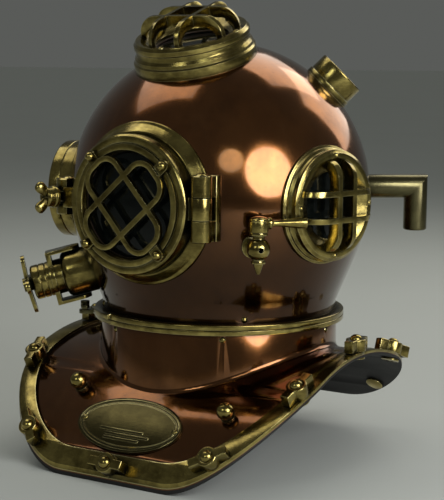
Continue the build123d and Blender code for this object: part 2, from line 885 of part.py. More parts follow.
with BuildPart() as faceplate_seat:
    add(
        turned(
            door_plane,
            [
                (seat_spigot_radius, seat_face_level),
                (seat_face_radius, seat_face_level),
                (seat_lip_radius, seat_lip_level),
                (seat_base_radius, seat_lip_level),
                (seat_base_radius, under_dome(seat_base_radius)),
                (seat_spigot_radius, under_dome(seat_base_radius)),
            ],
        )
    )
    with BuildSketch(Plane.XY.offset(door_height - hinge_half)):
        with Locations((hinge_leaf_reach, -hinge_level + hinge_radius + door_gap)):
            Rectangle(
                hinge_leaf_reach - seat_bore_radius,
                hinge_leaf_thickness,
                align=(Align.MAX, Align.MIN),
            )
    extrude(amount=2 * hinge_half)
    with BuildSketch(Plane.XY.offset(lock_height - ear_outer)):
        add(lock_ear_outline())
    extrude(amount=2 * ear_outer)
    add(bonnet_form(0, bonnet_foot), mode=Mode.SUBTRACT)
    with BuildSketch(Plane.XY.offset(lock_height - ear_inner)):
        with Locations((-lock_reach - lock_ear_radius, -lock_level - lock_ear_radius)):
            Rectangle(
                lock_ear_radius + lock_eye_radius + door_gap,
                lock_ear_radius * 3,
                align=(Align.MIN, Align.MIN),
            )
    extrude(amount=2 * ear_inner, mode=Mode.SUBTRACT)
    with BuildSketch(Plane.XY.offset(door_height - knuckle_half - hinge_knuckle_gap)):
        with Locations(hinge_place):
            Circle(hinge_radius + door_gap)
    extrude(amount=2 * (knuckle_half + hinge_knuckle_gap), mode=Mode.SUBTRACT)
    for side in (1, -1):
        level = door_height + side * (knuckle_half + hinge_knuckle_gap + hinge_knuckle / 2)
        with BuildSketch(Plane.XY.offset(level - hinge_knuckle / 2)):
            with Locations(hinge_place):
                Circle(hinge_radius)
            with Locations((hinge_reach, -hinge_level)):
                Rectangle(
                    hinge_radius,
                    hinge_radius + door_gap + hinge_leaf_thickness / 2,
                    align=(Align.MIN, Align.MIN),
                )
        extrude(amount=hinge_knuckle)
    with BuildSketch(Plane.XY.offset(door_height - dome_radius)):
        with Locations(hinge_place):
            Circle(hinge_pin_radius + pin_clearance)
        with Locations(lock_place):
            Circle(lock_pin_radius + pin_clearance)
    extrude(amount=2 * dome_radius, mode=Mode.SUBTRACT)
    add(ring(door_plane, seat_spigot_radius, seat_bore_radius, seat_spigot_end, seat_face_level))
    add(
        ring(
            door_plane,
            seat_groove_radius + seat_groove_width,
            seat_groove_radius,
            seat_face_level - seat_groove_depth,
            seat_face_level + cut_overrun,
        ),
        mode=Mode.SUBTRACT,
    )
save(faceplate_seat, "faceplate_seat")

with BuildPart() as faceplate_gasket:
    add(
        ring(
            door_plane,
            seat_groove_radius + seat_groove_width - gasket_clearance,
            seat_groove_radius + gasket_clearance,
            seat_face_level - seat_groove_depth,
            seat_face_level - seat_groove_depth + seat_gasket_thickness,
        )
    )
save(faceplate_gasket, "faceplate_gasket")

with BuildPart() as hinge_pin:
    with BuildSketch(Plane.XY.offset(door_height - hinge_half)):
        with Locations(hinge_place):
            Circle(hinge_pin_radius)
    extrude(amount=2 * hinge_half)
    add(
        round_head(
            Plane.XY.offset(door_height + hinge_half).move(Location((hinge_reach, -hinge_level, 0))),
            hinge_pin_head_radius,
            hinge_pin_head_height,
        )
    )
save(hinge_pin, "hinge_pin")

with BuildPart() as swing_bolt_pin:
    with BuildSketch(Plane.XY.offset(lock_height - ear_outer)):
        with Locations(lock_place):
            Circle(lock_pin_radius)
    extrude(amount=2 * ear_outer)
    add(
        round_head(
            Plane.XY.offset(lock_height + ear_outer).move(Location((-lock_reach, -lock_level, 0))),
            lock_pin_head_radius,
            lock_pin_head_height,
        )
    )
save(swing_bolt_pin, "swing_bolt_pin")

door_tab_turns = [side * 45 + door_guard_turn + flip for side in (1, -1) for flip in (0, 180)]
door_screw_planes = [
    Plane(
        origin=door_plane.offset(door_inner_face_level + door_guard_bar / 2).from_local_coords(
            (door_screw_circle * cos(radians(turn)), door_screw_circle * sin(radians(turn)), 0)
        ),
        x_dir=door_plane.x_dir,
        z_dir=door_plane.z_dir,
    )
    for turn in door_tab_turns
]

# Door ring with its hinge knuckle and the lug that the wing nut bears on
door_back_level = seat_face_level + door_gap
with BuildPart() as faceplate_ring:
    add(
        turned(
            door_plane,
            [
                (door_pocket_radius, door_back_level),
                (door_radius, door_back_level),
                (door_radius, door_face_level - door_edge_round),
                (door_radius - door_edge_round, door_face_level),
                (door_inner_ring_radius + door_step_groove, door_face_level),
                (door_inner_ring_radius + door_step_groove, door_face_level - door_step_groove),
                (door_inner_ring_radius, door_face_level - door_step_groove),
                (door_inner_ring_radius, door_inner_face_level),
                (door_opening_radius + door_bevel_width, door_inner_face_level),
                (door_opening_radius, door_bevel_level),
                (door_opening_radius, door_pocket_level),
                (door_pocket_radius, door_pocket_level),
            ],
        )
    )
    with BuildSketch(Plane.XY.offset(door_height - knuckle_half)):
        with Locations(hinge_place):
            Circle(hinge_radius)
        with Locations((hinge_reach, -door_back_level)):
            Rectangle(
                hinge_reach - door_inner_ring_radius,
                hinge_radius,
                align=(Align.MAX, Align.MAX),
            )
    extrude(amount=hinge_knuckle)
    with BuildSketch(Plane.XY.offset(lock_height - door_lug_half_height)):
        with Locations((-door_lug_reach, -door_back_level)):
            Rectangle(
                door_lug_reach - door_pocket_radius,
                lock_level + nut_seat_length - door_gap - door_back_level,
                align=(Align.MIN, Align.MAX),
            )
    extrude(amount=2 * door_lug_half_height)
    with BuildSketch(Plane.XY.offset(door_height - knuckle_half)):
        with Locations(hinge_place):
            Circle(hinge_pin_radius + pin_clearance)
    extrude(amount=hinge_knuckle, mode=Mode.SUBTRACT)
    add(
        ring(door_plane, door_pocket_radius, 0, door_back_level, door_pocket_level),
        mode=Mode.SUBTRACT,
    )
    for plane in door_screw_planes:
        with BuildSketch(plane.offset(-door_screw_depth)):
            Circle(door_screw_shank)
        extrude(amount=door_screw_depth, mode=Mode.SUBTRACT)
save(faceplate_ring, "faceplate_ring")

door_glass_front = door_pocket_level - door_gasket_thickness
door_glass_back = door_glass_front - door_glass_thickness
with BuildPart() as faceplate_glass_gasket:
    add(
        ring(
            door_plane,
            door_pocket_radius - glass_clearance,
            door_opening_radius,
            door_glass_front,
            door_pocket_level,
        )
    )
save(faceplate_glass_gasket, "faceplate_glass_gasket")

with BuildPart() as faceplate_glass:
    add(ring(door_plane, door_pocket_radius - glass_clearance, 0, door_glass_back, door_glass_front))
save(faceplate_glass, "faceplate_glass")

with BuildPart() as faceplate_retainer:
    add(
        ring(
            door_plane,
            door_pocket_radius - pin_clearance,
            door_opening_radius,
            door_back_level + retainer_clearance,
            door_glass_back,
        )
    )
save(faceplate_retainer, "faceplate_retainer")

# Door guard: two crossing loops of flat bar with a screwed tab at each end
with BuildPart() as faceplate_guard:
    for side in (1, -1):
        with BuildSketch(door_plane.offset(door_inner_face_level)):
            with Locations(Location((0, 0, 0), (0, 0, side * 45 + door_guard_turn))):
                RectangleRounded(
                    door_guard_loop_length + door_guard_bar,
                    door_guard_loop_width + door_guard_bar,
                    door_guard_loop_corner + door_guard_bar / 2,
                )
                RectangleRounded(
                    door_guard_loop_length - door_guard_bar,
                    door_guard_loop_width - door_guard_bar,
                    door_guard_loop_corner - door_guard_bar / 2,
                    mode=Mode.SUBTRACT,
                )
        extrude(amount=door_guard_bar)
    for turn in door_tab_turns:
        with BuildSketch(door_plane.offset(door_face_level)):
            with Locations(Location((0, 0, 0), (0, 0, turn))):
                with Locations((door_guard_loop_length / 2, 0)):
                    Rectangle(
                        door_screw_circle - door_guard_loop_length / 2,
                        door_guard_tab_width,
                        align=(Align.MIN, Align.CENTER),
                    )
                with Locations((door_screw_circle, 0)):
                    Circle(door_guard_tab_width / 2)
        extrude(amount=door_inner_face_level - door_face_level + door_guard_bar / 2)
    add(faceplate_ring.part, mode=Mode.SUBTRACT)
    for plane in door_screw_planes:
        with BuildSketch(plane.offset(-door_screw_depth)):
            Circle(door_screw_shank)
        extrude(amount=door_screw_depth + cut_overrun, mode=Mode.SUBTRACT)
save(faceplate_guard, "faceplate_guard")

with BuildPart() as faceplate_guard_screws:
    for plane in door_screw_planes:
        with BuildSketch(plane.offset(-door_screw_depth)):
            Circle(door_screw_shank)
        extrude(amount=door_screw_depth + door_screw_lift)
        with Locations(plane.offset(door_screw_lift)):
            Sphere(door_screw_radius)
        with BuildSketch(plane.offset(-door_screw_radius)):
            Circle(door_screw_radius)
            Circle(door_screw_shank, mode=Mode.SUBTRACT)
        extrude(amount=door_screw_radius, mode=Mode.SUBTRACT)
save(faceplate_guard_screws, "faceplate_guard_screws")

# Swing bolt with its eye, and the wing nut that clamps the door's lug
bolt_plane = Plane(
    origin=(-lock_reach, -lock_level, lock_height),
    x_dir=(-lock_turn.Y, lock_turn.X, 0),
    z_dir=(lock_turn.X, lock_turn.Y, 0),
)
with BuildPart() as swing_bolt:
    with BuildSketch(bolt_plane):
        Circle(bolt_radius)
    extrude(amount=bolt_length)
    with BuildSketch(Plane.XY.offset(lock_height - lock_eye_width / 2)):
        with Locations(lock_place):
            Circle(lock_eye_radius)
    extrude(amount=lock_eye_width)
    with BuildSketch(Plane.XY.offset(lock_height - lock_eye_width)):
        with Locations(lock_place):
            Circle(lock_pin_radius + pin_clearance)
    extrude(amount=2 * lock_eye_width, mode=Mode.SUBTRACT)
save(swing_bolt, "swing_bolt")

with BuildPart() as lock_wing_nut:
    with BuildSketch(bolt_plane.offset(nut_seat_length)):
        Circle(lock_nut_collar_radius)
    extrude(amount=lock_nut_collar)
    with BuildSketch(bolt_plane.offset(nut_seat_length)):
        Circle(lock_nut_boss_radius)
    extrude(amount=lock_nut_length)
    rise = radians(lock_nut_ear_lean)
    for side in (1, -1):
        ear_plane = Plane(
            origin=bolt_plane.offset(nut_seat_length + lock_nut_collar).origin,
            x_dir=bolt_plane.x_dir,
            z_dir=bolt_plane.z_dir * cos(rise) + Vector(0, 0, side * sin(rise)),
        )
        with BuildSketch(ear_plane):
            Circle(lock_ear_bar_radius)
        extrude(amount=lock_nut_ear_length)
        with Locations(ear_plane.offset(lock_nut_ear_length)):
            Sphere(lock_ear_bar_radius)
    with BuildSketch(bolt_plane.offset(-lock_nut_length)):
        Circle(lock_nut_collar_radius * 2)
    extrude(amount=nut_seat_length + lock_nut_length, mode=Mode.SUBTRACT)
    with BuildSketch(bolt_plane):
        Circle(bolt_radius + pin_clearance)
    extrude(amount=nut_seat_length + lock_nut_length + cut_overrun * 2, mode=Mode.SUBTRACT)
save(lock_wing_nut, "lock_wing_nut")


def drum(plane, radius, start, end, corner):
    """A round form between two levels with a rounded far edge."""
    with BuildPart() as form:
        with BuildSketch(profile_on(plane)) as half:
            with Locations((0, start)):
                Rectangle(radius, end - start, align=(Align.MIN, Align.MIN))
            fillet(half.vertices().group_by(Axis.Y)[-1].sort_by(Axis.X)[-1], corner)
        revolve(axis=Axis(plane.origin, plane.z_dir))
    return form.part


# Shares of the way in from the base to the rim, and up from the base level to the rim level
window_side_share = [(0, 0), (0, 0.1), (0.35, 0.16), (0.35, 0.3), (0.72, 0.42), (0.8, 0.62)]
window_bead_share = [(0.55, 0.68), (0.55, 0.86), (0.85, 0.92)]


window_screw_planes = []


def window(
    name,
    plane,
    base_radius,
    base_level,
    rim_radius,
    rim_level,
    rim_width,
    opening_radius,
    dish_level,
    guard_level,
    guard_radius,
    guard_across,
    guard_up,
    guard_bar,
    guard_depth,
    guard_round,
):
    """Frame, glass, gasket, retaining ring and cage of one round window."""
    glass_radius = opening_radius + window_glass_lap
    spigot = glass_radius + window_spigot_wall
    pocket_level = dish_level - window_dish_wall
    glass_front = pocket_level - window_gasket_thickness
    glass_back = glass_front - window_glass_thickness
    retainer_back = glass_back - window_retainer_thickness
    screw_circle = rim_radius - rim_width / 2
    screws = [
        Plane(
            origin=plane.offset(rim_level).from_local_coords((x * screw_circle, y * screw_circle, 0)),
            x_dir=plane.x_dir,
            z_dir=plane.z_dir,
        )
        for x, y in [(1, 0), (0, 1), (-1, 0), (0, -1)]
    ]
    window_screw_planes.extend(screws)
    with BuildPart() as frame:
        side = [
            (base_radius + (rim_radius - base_radius) * x, base_level + (rim_level - base_level) * y)
            for x, y in window_side_share + window_bead_share
        ]
        outline = [
            (spigot, under_dome(base_radius)),
            (base_radius, under_dome(base_radius)),
            *side,
            (rim_radius, rim_level),
            (rim_radius - rim_width, rim_level),
            (opening_radius, dish_level),
            (opening_radius, pocket_level),
            (spigot, pocket_level),
        ]
        add(turned(plane, outline))
        add(bonnet_form(0, bonnet_foot), mode=Mode.SUBTRACT)
        add(ring(plane, spigot, glass_radius, retainer_back, pocket_level))
        add(ring(plane, spigot, opening_radius, pocket_level, pocket_level + window_dish_wall / 2))
        for screw in screws:
            with BuildSketch(screw.offset(-window_screw_depth)):
                Circle(window_screw_shank)
            extrude(amount=window_screw_depth, mode=Mode.SUBTRACT)
    save(frame, f"{name}_window_frame")

    with BuildPart() as gasket:
        add(ring(plane, glass_radius - glass_clearance, opening_radius, glass_front, pocket_level))
    save(gasket, f"{name}_window_gasket")

    with BuildPart() as glass:
        add(ring(plane, glass_radius - glass_clearance, 0, glass_back, glass_front))
    save(glass, f"{name}_window_glass")

    with BuildPart() as retainer:
        add(ring(plane, glass_radius - pin_clearance, opening_radius, retainer_back, glass_back))
    save(retainer, f"{name}_window_retainer")

    with BuildPart() as cage_bars:
        for turn, reach in ((0, guard_up), (90, guard_across)):
            with BuildSketch(plane.offset(dish_level - window_dish_wall)):
                with Locations(Location((0, 0, 0), (0, 0, turn))):
                    with Locations((0, reach), (0, -reach)):
                        Rectangle(2 * guard_radius, guard_bar)
            extrude(amount=guard_level - dish_level + window_dish_wall)

    with BuildPart() as guard:
        add(drum(plane, guard_radius, pocket_level, guard_level, guard_round))
        add(
            drum(
                plane,
                guard_radius - guard_depth / 2,
                pocket_level - cut_overrun,
                guard_level - guard_depth,
                guard_round - guard_depth / 2,
            ),
            mode=Mode.SUBTRACT,
        )
        add(cage_bars.part, mode=Mode.INTERSECT)
        add(frame.part, mode=Mode.SUBTRACT)
    save(guard, f"{name}_window_guard")


for side_name in ("left", "right"):
    window(
        side_name,
        windows[side_name],
        side_base_radius,
        side_base_level,
        side_rim_radius,
        side_rim_level,
        side_rim_width,
        side_opening_radius,
        side_dish_level,
        side_guard_level,
        side_guard_radius,
        side_guard_across,
        side_guard_up,
        side_guard_bar,
        side_guard_depth,
        side_guard_round,
    )
window(
    "top",
    windows["top"],
    top_base_radius,
    top_base_level,
    top_rim_radius,
    top_rim_level,
    top_rim_width,
    top_opening_radius,
    top_dish_level,
    top_guard_level,
    top_guard_radius,
    top_guard_across,
    top_guard_up,
    top_guard_bar,
    top_guard_depth,
    top_guard_round,
)

# The small round-headed screws in all three window rims
with BuildPart() as window_screws:
    for screw in window_screw_planes:
        with BuildSketch(screw.offset(-window_screw_depth)):
            Circle(window_screw_shank)
        extrude(amount=window_screw_depth)
        add(round_head(screw, window_screw_radius, window_screw_height))
save(window_screws, "window_screws")

# Exhaust valve: a body on the dome, a clamp across it, a capped housing and a handwheel
exhaust_port_start = exhaust_body_length - exhaust_chamber_depth - exhaust_port_wall
exhaust_port_end = exhaust_body_length - exhaust_chamber_depth
exhaust_cap_end = exhaust_body_length + exhaust_cap_length
exhaust_yoke_end = exhaust_yoke_start + exhaust_yoke_thickness
with BuildPart() as exhaust_body:
    add(
        drum(
            exhaust_plane,
            exhaust_body_radius,
            -exhaust_body_radius,
            exhaust_body_length,
            exhaust_body_round,
        )
    )
    add(bonnet_form(0, bonnet_foot), mode=Mode.SUBTRACT)
    for start, end, radius in (
        (-exhaust_body_length, exhaust_port_start, exhaust_bore_radius),
        (exhaust_port_start, exhaust_port_end, exhaust_port_radius),
        (exhaust_port_end, exhaust_body_length, exhaust_bore_radius),
    ):
        add(ring(exhaust_plane, radius, 0, start, end), mode=Mode.SUBTRACT)
save(exhaust_body, "exhaust_body")

with BuildPart() as exhaust_cap:
    add(ring(exhaust_plane, exhaust_cap_radius, 0, exhaust_body_length, exhaust_cap_end))
    add(
        ring(
            exhaust_plane,
            exhaust_bore_radius - pin_clearance,
            0,
            exhaust_body_length - exhaust_cap_spigot,
            exhaust_body_length,
        )
    )
    add(
        ring(
            exhaust_plane,
            exhaust_bore_radius - exhaust_cap_wall,
            0,
            exhaust_body_length - exhaust_cap_spigot,
            exhaust_cap_end - exhaust_cap_wall,
        ),
        mode=Mode.SUBTRACT,
    )
    add(
        ring(
            exhaust_plane, exhaust_stem_radius + pin_clearance, 0, exhaust_body_length, exhaust_cap_end
        ),
        mode=Mode.SUBTRACT,
    )
    seam_level = exhaust_yoke_end + exhaust_seam_lift
    add(
        ring(
            exhaust_plane,
            exhaust_cap_radius + exhaust_seam,
            exhaust_cap_radius - exhaust_seam,
            seam_level,
            seam_level + exhaust_seam,
        ),
        mode=Mode.SUBTRACT,
    )
save(exhaust_cap, "exhaust_cap")

exhaust_side = Plane(
    origin=exhaust_plane.origin, x_dir=exhaust_plane.z_dir, z_dir=exhaust_plane.x_dir
)
with BuildPart() as exhaust_clamp:
    with BuildSketch(exhaust_side.offset(-exhaust_yoke_width / 2)):
        with Locations((exhaust_yoke_end, 0)):
            Rectangle(
                exhaust_arm_length + exhaust_yoke_thickness,
                2 * exhaust_yoke_half,
                align=(Align.MAX, Align.CENTER),
            )
        with Locations((exhaust_yoke_start, 0)):
            Rectangle(
                exhaust_arm_length + cut_overrun,
                2 * (exhaust_yoke_half - exhaust_arm_thickness),
                align=(Align.MAX, Align.CENTER),
                mode=Mode.SUBTRACT,
            )
    extrude(amount=exhaust_yoke_width)
    tips = exhaust_clamp.edges().filter_by(Axis(exhaust_plane.origin, exhaust_plane.y_dir)).group_by(
        Axis(exhaust_plane.origin, exhaust_plane.z_dir)
    )[0]
    fillet(tips, exhaust_yoke_width * clamp_round_share)
    add(
        ring(
            exhaust_plane,
            exhaust_cap_radius + exhaust_arm_thickness,
            0,
            exhaust_yoke_start,
            exhaust_yoke_end,
        )
    )
    add(
        ring(
            exhaust_plane,
            exhaust_cap_radius + pin_clearance,
            0,
            exhaust_body_length,
            exhaust_cap_end,
        ),
        mode=Mode.SUBTRACT,
    )
save(exhaust_clamp, "exhaust_clamp")

with BuildPart() as exhaust_disc:
    disc_level = exhaust_port_end + exhaust_disc_gap
    add(
        ring(
            exhaust_plane,
            exhaust_bore_radius - exhaust_cap_wall - exhaust_disc_gap,
            0,
            disc_level,
            disc_level + exhaust_disc_thickness,
        )
    )
    add(
        ring(
            exhaust_plane,
            exhaust_stem_radius,
            0,
            disc_level,
            exhaust_cap_end - exhaust_cap_wall - exhaust_disc_lift * 2 - exhaust_stem_grip,
        )
    )
save(exhaust_disc, "exhaust_disc")

with BuildPart() as exhaust_handwheel:
    for turn in (0, 90):
        with BuildSketch(exhaust_plane.offset(exhaust_cap_end)):
            SlotOverall(2 * exhaust_wheel_radius, exhaust_prong_width, rotation=turn)
        extrude(amount=exhaust_wheel_level)
    add(
        turned(
            exhaust_plane,
            [
                (0, exhaust_wheel_level),
                (exhaust_wheel_radius, exhaust_wheel_level - exhaust_wheel_dish),
                (
                    exhaust_wheel_radius,
                    exhaust_wheel_level - exhaust_wheel_dish + exhaust_wheel_thickness,
                ),
                (0, exhaust_wheel_level + exhaust_wheel_thickness),
            ],
        ),
        mode=Mode.INTERSECT,
    )
    hub_top = exhaust_wheel_level + exhaust_wheel_thickness + exhaust_hub_rise
    add(
        ring(
            exhaust_plane,
            exhaust_hub_radius,
            0,
            exhaust_cap_end + exhaust_disc_gap,
            hub_top,
        )
    )
    add(
        ring(
            exhaust_plane,
            exhaust_stem_radius,
            0,
            exhaust_cap_end - exhaust_cap_wall - exhaust_stem_grip,
            exhaust_cap_end + exhaust_hub_rise,
        )
    )
save(exhaust_handwheel, "exhaust_handwheel")

# Spit cock: a ball body on a short stem, with a key that a lever turns
cock_root = sqrt(dome_radius**2 - (dome_height - cock_height) ** 2)
cock_up = Plane(origin=cock_plane.offset(cock_reach).origin, x_dir=cock_plane.x_dir, z_dir=(0, 0, 1))
barrel_foot = cock_body_top - cock_height + pawl_clearance
barrel_top = barrel_foot + cock_barrel_height
with BuildPart() as spit_cock_body:
    add(ring(cock_plane, cock_flange_radius, 0, under_dome(cock_height), cock_root + cock_flange_rise))
    add(bonnet_form(0, bonnet_foot), mode=Mode.SUBTRACT)
    add(ring(cock_plane, cock_stem_radius, 0, cock_root - cut_overrun, cock_reach))
    with Locations(cock_up):
        Sphere(cock_ball_radius)
    finial_foot = -cock_ball_radius - cock_finial_height
    add(
        turned(
            cock_up,
            [
                (0, barrel_foot - pawl_clearance),
                (cock_ring_radius, barrel_foot - pawl_clearance),
                (cock_ring_radius, barrel_foot - pawl_clearance - cock_ring_height),
                (cock_neck_radius, barrel_foot - pawl_clearance - cock_ring_height),
                (cock_neck_radius, -cock_ball_radius),
                (cock_ring_radius * finial_ring_share, -cock_ball_radius),
                (cock_ring_radius * finial_ring_share, -cock_ball_radius - cock_ring_height),
                (cock_finial_radius, -cock_ball_radius - cock_ring_height),
                (cock_finial_tip, finial_foot),
                (0, finial_foot),
            ],
        )
    )
    add(
        ring(cock_up, cock_plug_radius + pin_clearance, 0, -cock_plug_drop, barrel_top),
        mode=Mode.SUBTRACT,
    )
    add(
        ring(cock_plane, cock_bore_radius, 0, cock_root - 2 * cut_overrun, cock_reach),
        mode=Mode.SUBTRACT,
    )
    add(
        ring(cock_plane, cock_bore_radius, 0, cock_reach, cock_reach + 2 * cock_ball_radius),
        mode=Mode.SUBTRACT,
    )
save(spit_cock_body, "spit_cock_body")

lever_level = cock_lever_height - cock_height
lever_plane = Plane(
    origin=cock_up.offset(lever_level).origin, x_dir=(0, 0, 1), z_dir=cock_plane.x_dir
)
with BuildPart() as spit_cock_key:
    add(ring(cock_up, cock_plug_radius, 0, pin_clearance - cock_plug_drop, barrel_top))
    add(ring(cock_up, cock_barrel_radius, 0, barrel_foot, barrel_top))
    add(round_head(cock_up.offset(barrel_top), cock_cap_radius, cock_cap_height))
    add(
        turned(
            lever_plane,
            [
                (0, 0),
                (cock_lever_flare, cock_barrel_radius),
                (cock_lever_flare, cock_barrel_radius + cock_ring_height),
                (cock_lever_rod, cock_barrel_radius + 2 * cock_ring_height),
                (cock_lever_rod, cock_lever_reach * lever_grip_share),
                (cock_lever_grip, cock_lever_reach * (lever_grip_share + lever_taper_share)),
                (cock_lever_grip, cock_lever_reach),
                (0, cock_lever_reach),
            ],
        )
    )
    add(
        ring(cock_plane, cock_bore_radius, 0, cock_reach - cock_ball_radius, cock_reach + cock_ball_radius),
        mode=Mode.SUBTRACT,
    )
save(spit_cock_key, "spit_cock_key")

# Air inlet elbow with its non-return valve
inlet_root = dome_radius - cut_overrun
inlet_corner = inlet_plane.offset(inlet_reach).origin
inlet_mouth = inlet_corner - Vector(0, 0, inlet_drop)
inlet_valve_reach = inlet_reach - inlet_valve_setback


def inlet_tube(radius, overrun):
    """The elbow's tube as a filled form with a mitred corner."""
    with BuildPart() as form:
        with BuildLine():
            Polyline(
                inlet_plane.offset(inlet_root - overrun).origin,
                inlet_corner,
                inlet_mouth - Vector(0, 0, overrun),
            )
        with BuildSketch(inlet_plane.offset(inlet_root - overrun)):
            Circle(radius)
        sweep(transition=Transition.RIGHT)
    return form.part


with BuildPart() as air_inlet_elbow:
    add(inlet_tube(inlet_radius, 0))
    fillet(air_inlet_elbow.edges().group_by(Axis.Z)[0], inlet_end_round)
    add(inlet_tube(inlet_bore_radius, cut_overrun), mode=Mode.SUBTRACT)
    with BuildSketch(Plane(origin=inlet_mouth)):
        Circle(inlet_socket_radius)
    extrude(amount=inlet_socket_depth, mode=Mode.SUBTRACT)
save(air_inlet_elbow, "air_inlet_elbow")

with BuildPart() as non_return_seat:
    add(
        ring(
            inlet_plane,
            inlet_bore_radius,
            inlet_valve_port,
            inlet_valve_reach,
            inlet_valve_reach + inlet_valve_thickness,
        )
    )
save(non_return_seat, "non_return_seat")

with BuildPart() as non_return_disc:
    add(
        ring(
            inlet_plane,
            inlet_bore_radius - inlet_disc_clearance,
            0,
            inlet_valve_reach - pawl_clearance - inlet_disc_thickness,
            inlet_valve_reach - pawl_clearance,
        )
    )
save(non_return_disc, "non_return_disc")

# Telephone stub with its terminal block and blanking cap
with BuildPart() as telephone_stub:
    add(ring(stub_plane, stub_flange_radius, 0, under_dome(stub_flange_radius), stub_flange_level))
    add(bonnet_form(0, bonnet_foot), mode=Mode.SUBTRACT)
    add(ring(stub_plane, stub_radius, 0, dome_radius - 2 * cut_overrun, stub_level))
    add(
        ring(stub_plane, stub_radius - stub_wall, 0, dome_radius - 3 * cut_overrun, stub_level),
        mode=Mode.SUBTRACT,
    )
save(telephone_stub, "telephone_stub")

with BuildPart() as telephone_terminal:
    add(
        ring(
            stub_plane,
            stub_radius - stub_wall,
            0,
            dome_radius - stub_plug_thickness,
            dome_radius,
        )
    )
save(telephone_terminal, "telephone_terminal")

with BuildPart() as telephone_gasket:
    add(
        ring(
            stub_plane,
            stub_radius,
            stub_radius - stub_wall,
            stub_level,
            stub_level + stub_gasket_thickness,
        )
    )
save(telephone_gasket, "telephone_gasket")

with BuildPart() as telephone_cap:
    add(drum(stub_plane, cap_radius, stub_flange_level + door_gap, cap_end, cap_edge))
    add(
        ring(
            stub_plane,
            stub_radius + glass_clearance,
            0,
            stub_flange_level,
            stub_level + stub_gasket_thickness + glass_clearance,
        ),
        mode=Mode.SUBTRACT,
    )
save(telephone_cap, "telephone_cap")
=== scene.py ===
import bpy
import json
import math
from mathutils import Matrix, Vector


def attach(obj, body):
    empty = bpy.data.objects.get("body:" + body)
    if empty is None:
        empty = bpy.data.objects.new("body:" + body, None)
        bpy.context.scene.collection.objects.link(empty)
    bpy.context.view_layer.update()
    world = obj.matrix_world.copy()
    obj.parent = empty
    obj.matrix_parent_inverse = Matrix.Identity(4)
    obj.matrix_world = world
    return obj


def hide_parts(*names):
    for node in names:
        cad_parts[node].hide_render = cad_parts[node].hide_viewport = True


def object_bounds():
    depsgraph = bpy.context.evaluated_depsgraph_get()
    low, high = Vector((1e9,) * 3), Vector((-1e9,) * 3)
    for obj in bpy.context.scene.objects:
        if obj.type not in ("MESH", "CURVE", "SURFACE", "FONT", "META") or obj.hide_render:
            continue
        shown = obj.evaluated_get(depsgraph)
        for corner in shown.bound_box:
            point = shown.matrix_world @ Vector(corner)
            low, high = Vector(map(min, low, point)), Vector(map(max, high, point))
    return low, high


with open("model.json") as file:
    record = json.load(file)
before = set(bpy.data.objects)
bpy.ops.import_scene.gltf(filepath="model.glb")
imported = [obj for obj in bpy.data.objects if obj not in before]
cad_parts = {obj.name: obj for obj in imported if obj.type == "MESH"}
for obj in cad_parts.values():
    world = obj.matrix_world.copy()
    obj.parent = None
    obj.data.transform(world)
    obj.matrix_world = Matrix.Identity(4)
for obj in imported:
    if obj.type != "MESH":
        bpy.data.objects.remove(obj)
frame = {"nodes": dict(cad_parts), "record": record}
cad_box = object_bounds()
nodes = frame["nodes"]
mm = 0.001

# The camera as fitted to the photograph: its place round the helmet in metres and radians,
# and its focal length in pixels
image_height = 500
sensor = 36
camera_azimuth = math.radians(33.3242)
camera_distance = 1.52992
camera_height = 0.252655
camera_pitch = 0.1248
camera_yaw = -0.0015
camera_roll = 0.0093
lens_pixels = 1522.73
near_clip = 0.05
far_clip = 200

# The solids' own forms in metres: the dome, the saddle of the breastplate, the floor's level
dome_centre = Vector((0, 0, 0.120))
saddle_centre = Vector((0, 0, -0.2405))
saddle_radius = 0.213
floor_level = cad_box[0].z
floor_radius = 60

# Softened edges of the solids: metres and degrees
weld_gap = 0.00001
edge_width = 0.00035
edge_angle = 28
split_angle = 35
smooth_angle = 32

# Where the modelled pieces sit, in millimetres and in degrees round the neck, 0 at the face
plate_angle = 45.3
plate_across = 58.5
plate_up = 29
plate_strip = 3
screw_across = 52.4
plate_screw_lift = 1.6
bolt_pivot = (-82, -141, 121)
bolt_lean = 16
wing_foot = 20.5
wing_rise = 40
wing_flatness = 0.72
cock_angle = 45.5
cock_reach = 166
lever_level = 105.5
right_window_angle = -76.9
window_level = 117.7
door_level = 118
hinge_place = (75, -145)
knuckle_feet = (87.7, 128.3)
knuckle_length = 20
ear_feet = (103.7, 126.3)
ear_thickness = 12
ear_flat = 5.8
exhaust_angle = -52
exhaust_reach = 124
exhaust_level = 44.5
exhaust_drop = 15

# The radius that stands for a point on a lathe piece's axis
pole = 0.01


class Wire:
    """A shader socket that Python's arithmetic works on."""

    def __init__(self, paint, socket):
        self.paint = paint
        self.socket = socket

    def maths(self, operation, first, second=None):
        values = [first] if second is None else [first, second]
        return self.paint.node("ShaderNodeMath", {"operation": operation}, values)

    def __add__(self, other):
        return self.maths("ADD", self, other)

    def __sub__(self, other):
        return self.maths("SUBTRACT", self, other)

    def __mul__(self, other):
        return self.maths("MULTIPLY", self, other)

    def __radd__(self, other):
        return self.maths("ADD", other, self)

    def __rsub__(self, other):
        return self.maths("SUBTRACT", other, self)

    def clamped(self):
        return self.maths("MINIMUM", self.maths("MAXIMUM", self, 0), 1)


